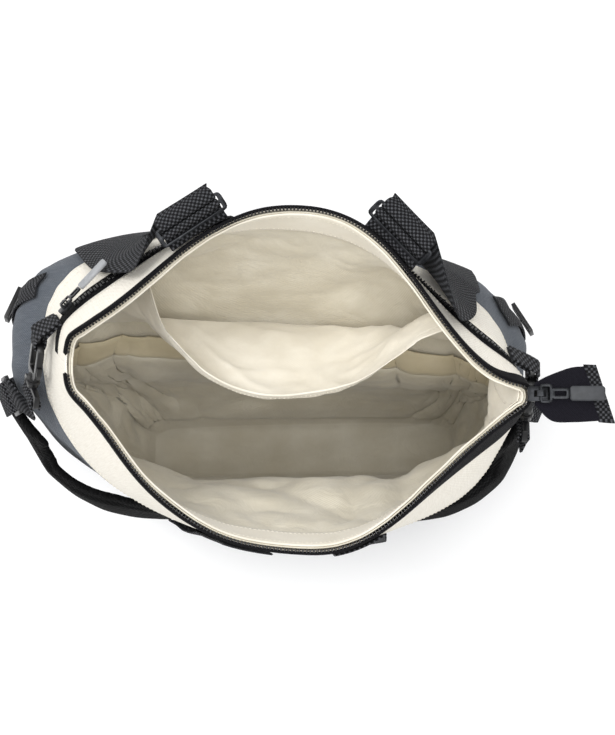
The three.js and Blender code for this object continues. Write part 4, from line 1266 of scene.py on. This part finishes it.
rounded_copy("slider_bar_left", "handle_bar_left", 0.7, gunmetal)
rounded_copy("slider_bar_right", "handle_bar_right", 0.7, gunmetal)
for name in ("main_zip", "pocket_zip"):
    rounded_copy(name + "_slider_body", name + "_slider", 0.4, gunmetal)
    rounded_copy(name + "_link", name + "_pull_link", 0.4, gunmetal)
rounded_copy("main_zip_rubber", "main_zip_pull_tab", 1.2, dark_rubber)
rounded_copy("pocket_zip_rubber", "pocket_zip_pull_tab", 1.0, grey_rubber)
for side in ("left", "right"):
    rounded_copy("strap_lock_" + side, "ladder_lock_" + side, 0.6, black_plastic)
    rounded_copy("strap_hook_" + side, "swivel_hook_" + side, 0.5, black_plastic)
    rounded_copy("tab_end_" + side, "outer_tab_end_" + side, 0.6, black_plastic)

# Shoulder straps
# Foam pads covered in ribbed air mesh, sewn under the back rim. Webbing joins each pad to its hook
# through a ladder lock, and the hook is clipped to a side loop.
pad_width = 56.0
pad_thickness = 9.0
loop_width = 25.0
pad_path = [
    (1.56, 0.8, 2.2), (1.57, 0.74, 3.2), (1.6, 0.64, 7), (1.65, 0.54, 12), (1.72, 0.49, 15),
    (1.79, 0.49, 13), (1.85, 0.545, 6.2), (1.88, 0.608, 3.2),
]


def on_side(side, s):
    return s if side == "left" else 1 - s


def frame_on(side, s, v, offset, s_ahead, v_ahead):
    here = shell_firm.point(on_side(side, s), v, offset)
    ahead = shell_firm.point(on_side(side, s_ahead), v_ahead, offset)
    way = unit(ahead - here)
    out = unit(shell_firm.point(on_side(side, s), v, offset + 1.0) - here)
    return frame_matrix(here, np.cross(way, out), out)


# Air mesh: knitted polyester over foam, near black, with raised ribs about 3 mm apart
air_mesh, mesh_tree = start_material("ribbed_air_mesh")
rib_height, rib_uv = weave(mesh_tree, 3.0, 2.2)
mesh_stops = [(0.3, "#040404"), (0.6, "#070708"), (0.85, "#0E0D0F")]
end_material(mesh_tree, {
    "Base Color": noise_colour(mesh_tree, rib_uv, 0.5, mesh_stops),
    "Roughness": 0.9,
    "Specular IOR Level": 0.12,
    "Normal": relief(mesh_tree, 0.9, 0.001, rib_height),
})


def swell(piece, voxel, pressure, most, frames=20):
    """Fills the piece like a sewn cover under pressure; no point moves further than the given most."""
    bpy.ops.object.select_all(action="DESELECT")
    bpy.context.view_layer.objects.active = piece
    piece.select_set(True)
    even = piece.modifiers.new("even", "REMESH")
    even.mode = "VOXEL"
    even.voxel_size = voxel * mm
    bpy.ops.object.modifier_apply(modifier=even.name)
    start = np.array([v.co for v in piece.data.vertices])
    cover = piece.modifiers.new("cover", "CLOTH")
    cover.settings.use_pressure = True
    cover.settings.uniform_pressure_force = pressure
    cover.settings.effector_weights.gravity = 0
    for frame_number in range(1, frames + 1):
        bpy.context.scene.frame_set(frame_number)
    blown = piece.evaluated_get(bpy.context.evaluated_depsgraph_get())
    end = np.array([v.co for v in blown.data.vertices])
    piece.modifiers.remove(cover)
    bpy.context.scene.frame_set(1)
    move = end - start
    far = np.linalg.norm(move, axis=1, keepdims=True)
    end = start + move * np.minimum(1, most * mm / np.maximum(far, 1e-9))
    piece.data.vertices.foreach_set("co", end.ravel())
    finer = piece.modifiers.new("finer", "SUBSURF")
    finer.levels = 1
    finer.render_levels = 1
    bpy.ops.object.modifier_apply(modifier=finer.name)


def cloth_marks(piece, grid, marks):
    """Gives a remeshed piece its UV map again, from the nearest point of the grid that it was made
    on, and returns where each of its points is and its UV."""
    along = unit(np.gradient(grid, axis=0)).reshape(-1, 3)
    across = unit(np.gradient(grid, axis=1)).reshape(-1, 3)
    flat, marks = grid.reshape(-1, 3), marks.reshape(-1, 2)
    tree = KDTree(len(flat))
    for i, point in enumerate(place(flat)):
        tree.insert(point, i)
    tree.balance()
    co = np.array([v.co for v in piece.data.vertices])
    near = np.array([tree.find(point)[1] for point in co])
    step = (co - place(flat[near])) / mm
    uv = marks[near] + np.stack([(step * along[near]).sum(1), (step * across[near]).sum(1)], -1)
    layer = piece.data.uv_layers.new(name="cloth")
    corners = np.empty(len(piece.data.loops), np.int32)
    piece.data.loops.foreach_get("vertex_index", corners)
    layer.data.foreach_set("uv", uv.astype(np.float32)[corners].ravel())
    return co, uv


channel_place = 0.38
channel_width = 2.2
channel_depth = 0.9


def pad_piece(side):
    """Foam pad: a slim start that swells against its cover, then the sewn channel along each edge."""
    rows = pad_path if side == "left" else [(3 - s, v, offset) for s, v, offset in pad_path]
    stations = laid_stations(rows, pad_width, 40, shell_firm)
    across = np.linspace(-0.5, 0.5, 19)
    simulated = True
    slim = 0.6 if simulated else 0.0
    crown = 0.72 + 0.28 * (1 - np.abs(2 * across) ** 4)
    ways = across * (1 - 2 * slim / pad_width)
    fullness = 0.6 + 0.4 * ease(0.08, 0.3, np.linspace(0, 1, len(stations)))
    low = [station(ways, 0.3 + slim * full + 0 * across) for station, full in zip(stations, fullness)]
    high = [station(ways, (pad_thickness * crown - slim) * full) for station, full in zip(stations, fullness)]
    under, over = densify(low, 3), densify(high, 3)
    uv = np.stack(np.broadcast_arrays(run_along(over)[:, None], across[None, :] * pad_width), -1)
    piece = cloth_solid("air_mesh_pad_" + side, over, under, air_mesh, uv)
    if simulated:
        swell(piece, 2.8, 4.0, 1.2)
        co, marks = cloth_marks(piece, (over + under) / 2, uv)
        out = np.zeros(3 * len(co))
        piece.data.vertices.foreach_get("normal", out)
        from_channel = (np.abs(marks[:, 1]) - pad_width * channel_place) / channel_width
        sunk = channel_depth * mm * np.exp(-(from_channel**2))
        co = co - out.reshape(-1, 3) * sunk[:, None]
        piece.data.vertices.foreach_set("co", co.ravel())
        piece.data.shade_smooth()
    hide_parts("padded_strap_" + side)


pad_rise = {"left": 1.4, "right": 11.9}
tongue_path = [
    (-20, 1.8), (-15, 1.4), (-10, 2.7), (-7.8, 3), (-5.3, 2), (-4.7, 0), (-5, -3), (-7, -4.6),
]
strap_start = [(7, -4.6), (5, -3), (4.7, 0), (5.3, 2), (7.8, 3), (10, 2.7), (15, 1.6)]
strap_finish = [
    (-46, -1.5), (-37, 1.6), (-33, 3.4), (-31, 3.6), (-28.6, 2.4), (-28, 0), (-28.4, -3),
    (-31, -4.4), (-36, -4.4),
]
hook_frames = {side: frame_on(side, 1.975, 0.83, 10, 2.01, 0.865) for side in ("left", "right")}
for side in ("left", "right"):
    pad_piece(side)
    lock = frame_on(side, 1.912, 0.675, 8.5, 1.93, 0.74)
    rise = pad_rise[side]
    rising = [(-38, rise), (-33, rise * 0.8), (-26, rise * 0.4)]
    tongue = turn_stations(lock, rising + tongue_path, webbing_thickness, loop_width)
    strip("tongue_" + side, tongue, webbing_thickness, "strap_tongue_" + side)
    ends = turn_stations(lock, strap_start, webbing_thickness, loop_width)
    ends += turn_stations(hook_frames[side], strap_finish, webbing_thickness, loop_width)
    strip("strap_band_" + side, ends, webbing_thickness, "strap_webbing_" + side)

# Side loops
# Webbing sewn at each end of the mouth, folded through the hook and gathered where it turns.
loop_reach = 42.0
anchor_level = 0.893
side_turn = [
    (29, -3.4, 0.75), (24, -3.9, 0.5), (19, -4.1, 0.44), (15.3, -3.1, 0.42), (14.2, 0, 0.42),
    (15.3, 3.1, 0.42), (19, 4.1, 0.44), (24, 3.8, 0.55), (29, 3.2, 0.75),
]


def sewn_station(anchor, per_level, offset, turned):
    """End of a side loop, sewn flat on the wall across its width."""
    return lambda share, lift: shell.point(
        anchor, anchor_level + share * loop_width / per_level, offset + turned * lift
    )


for side in ("left", "right"):
    flip = 1 if side == "left" else -1
    hook = hook_frames[side]
    run = 0.02
    while np.linalg.norm(shell_firm.point(on_side(side, run), anchor_level, 4.0) - hook[3]) < loop_reach:
        run += 0.002
    anchor = on_side(side, run)
    level_run = np.linalg.norm(shell_firm.point(anchor, 0.91) - shell_firm.point(anchor, 0.87))
    per_level = flip * level_run / 0.04
    stations = [sewn_station(anchor, per_level, 2.2, -1)]
    stations += turn_stations(hook, side_turn, webbing_thickness, loop_width)
    stations += [sewn_station(anchor, per_level, 2.6, 1)]
    strip("side_band_" + side, stations, webbing_thickness, "side_loop_" + side)

# Outer tabs
# A short webbing tab sewn high on each side of the front, with a moulded end.
tab_lift = 1.7
tab_path = [(0.125, 0.72), (0.105, 0.65), (0.085, 0.58), (0.078, 0.555)]
for side in ("left", "right"):
    rows = [(on_side(side, s), v, tab_lift) for s, v in tab_path]
    tab = laid_stations(rows, loop_width, 10)
    strip("tab_band_" + side, tab, webbing_thickness, "outer_tab_" + side)

# Stage
# A plain white floor, a broad soft light from the left and another from above, and the camera
# nearly overhead, where the photograph was taken from.
floor_material = plain_material(
    "white_paper_floor", 3.0, [(0.4, "#FCFCFC"), (0.6, "#FFFFFF")], {"Roughness": 0.9}
)
bpy.ops.object.select_all(action="DESELECT")
bpy.ops.mesh.primitive_plane_add(size=8)
floor = bpy.context.object
floor.name = "floor"
floor.data.materials.append(floor_material)

world = bpy.data.worlds.new("studio")
bpy.context.scene.world = world
world.use_nodes = True
background = world.node_tree.nodes["Background"]
background.inputs["Color"].default_value = (1, 1, 1, 1)
background.inputs["Strength"].default_value = 0.74


def soft_light(name, at, target, size, power):
    lamp = bpy.data.lights.new(name, "AREA")
    lamp.shape = "SQUARE"
    lamp.size = size
    lamp.energy = power
    light = bpy.data.objects.new(name, lamp)
    bpy.context.scene.collection.objects.link(light)
    light.location = at
    light.rotation_euler = (Vector(target) - Vector(at)).to_track_quat("-Z", "Y").to_euler()


soft_light("key_light", (-1.5, 0.7, 2.2), (0, 0, 0.25), 1.3, 31)
soft_light("top_light", (0.25, -0.25, 2.3), (0, 0, 0.1), 1.2, 26)
bpy.context.scene.view_settings.view_transform = "Standard"

camera_distance = 1.32
camera_tilt = math.radians(6)
image_width = 615
pixels_per_mm = 1.35
target = Vector((bag_shift[0], bag_shift[1], bag_height * mm))
camera_data = bpy.data.cameras.new("photo_camera")
camera_data.sensor_fit = "HORIZONTAL"
camera_data.sensor_width = 36
half_view = image_width / pixels_per_mm * mm / 2
camera_data.lens = camera_data.sensor_width / 2 * camera_distance / half_view
camera = bpy.data.objects.new("photo_camera", camera_data)
bpy.context.scene.collection.objects.link(camera)
camera.location = target + Vector((0, -math.sin(camera_tilt), math.cos(camera_tilt))) * camera_distance
camera.rotation_euler = (camera_tilt, 0, 0)
bpy.context.scene.camera = camera
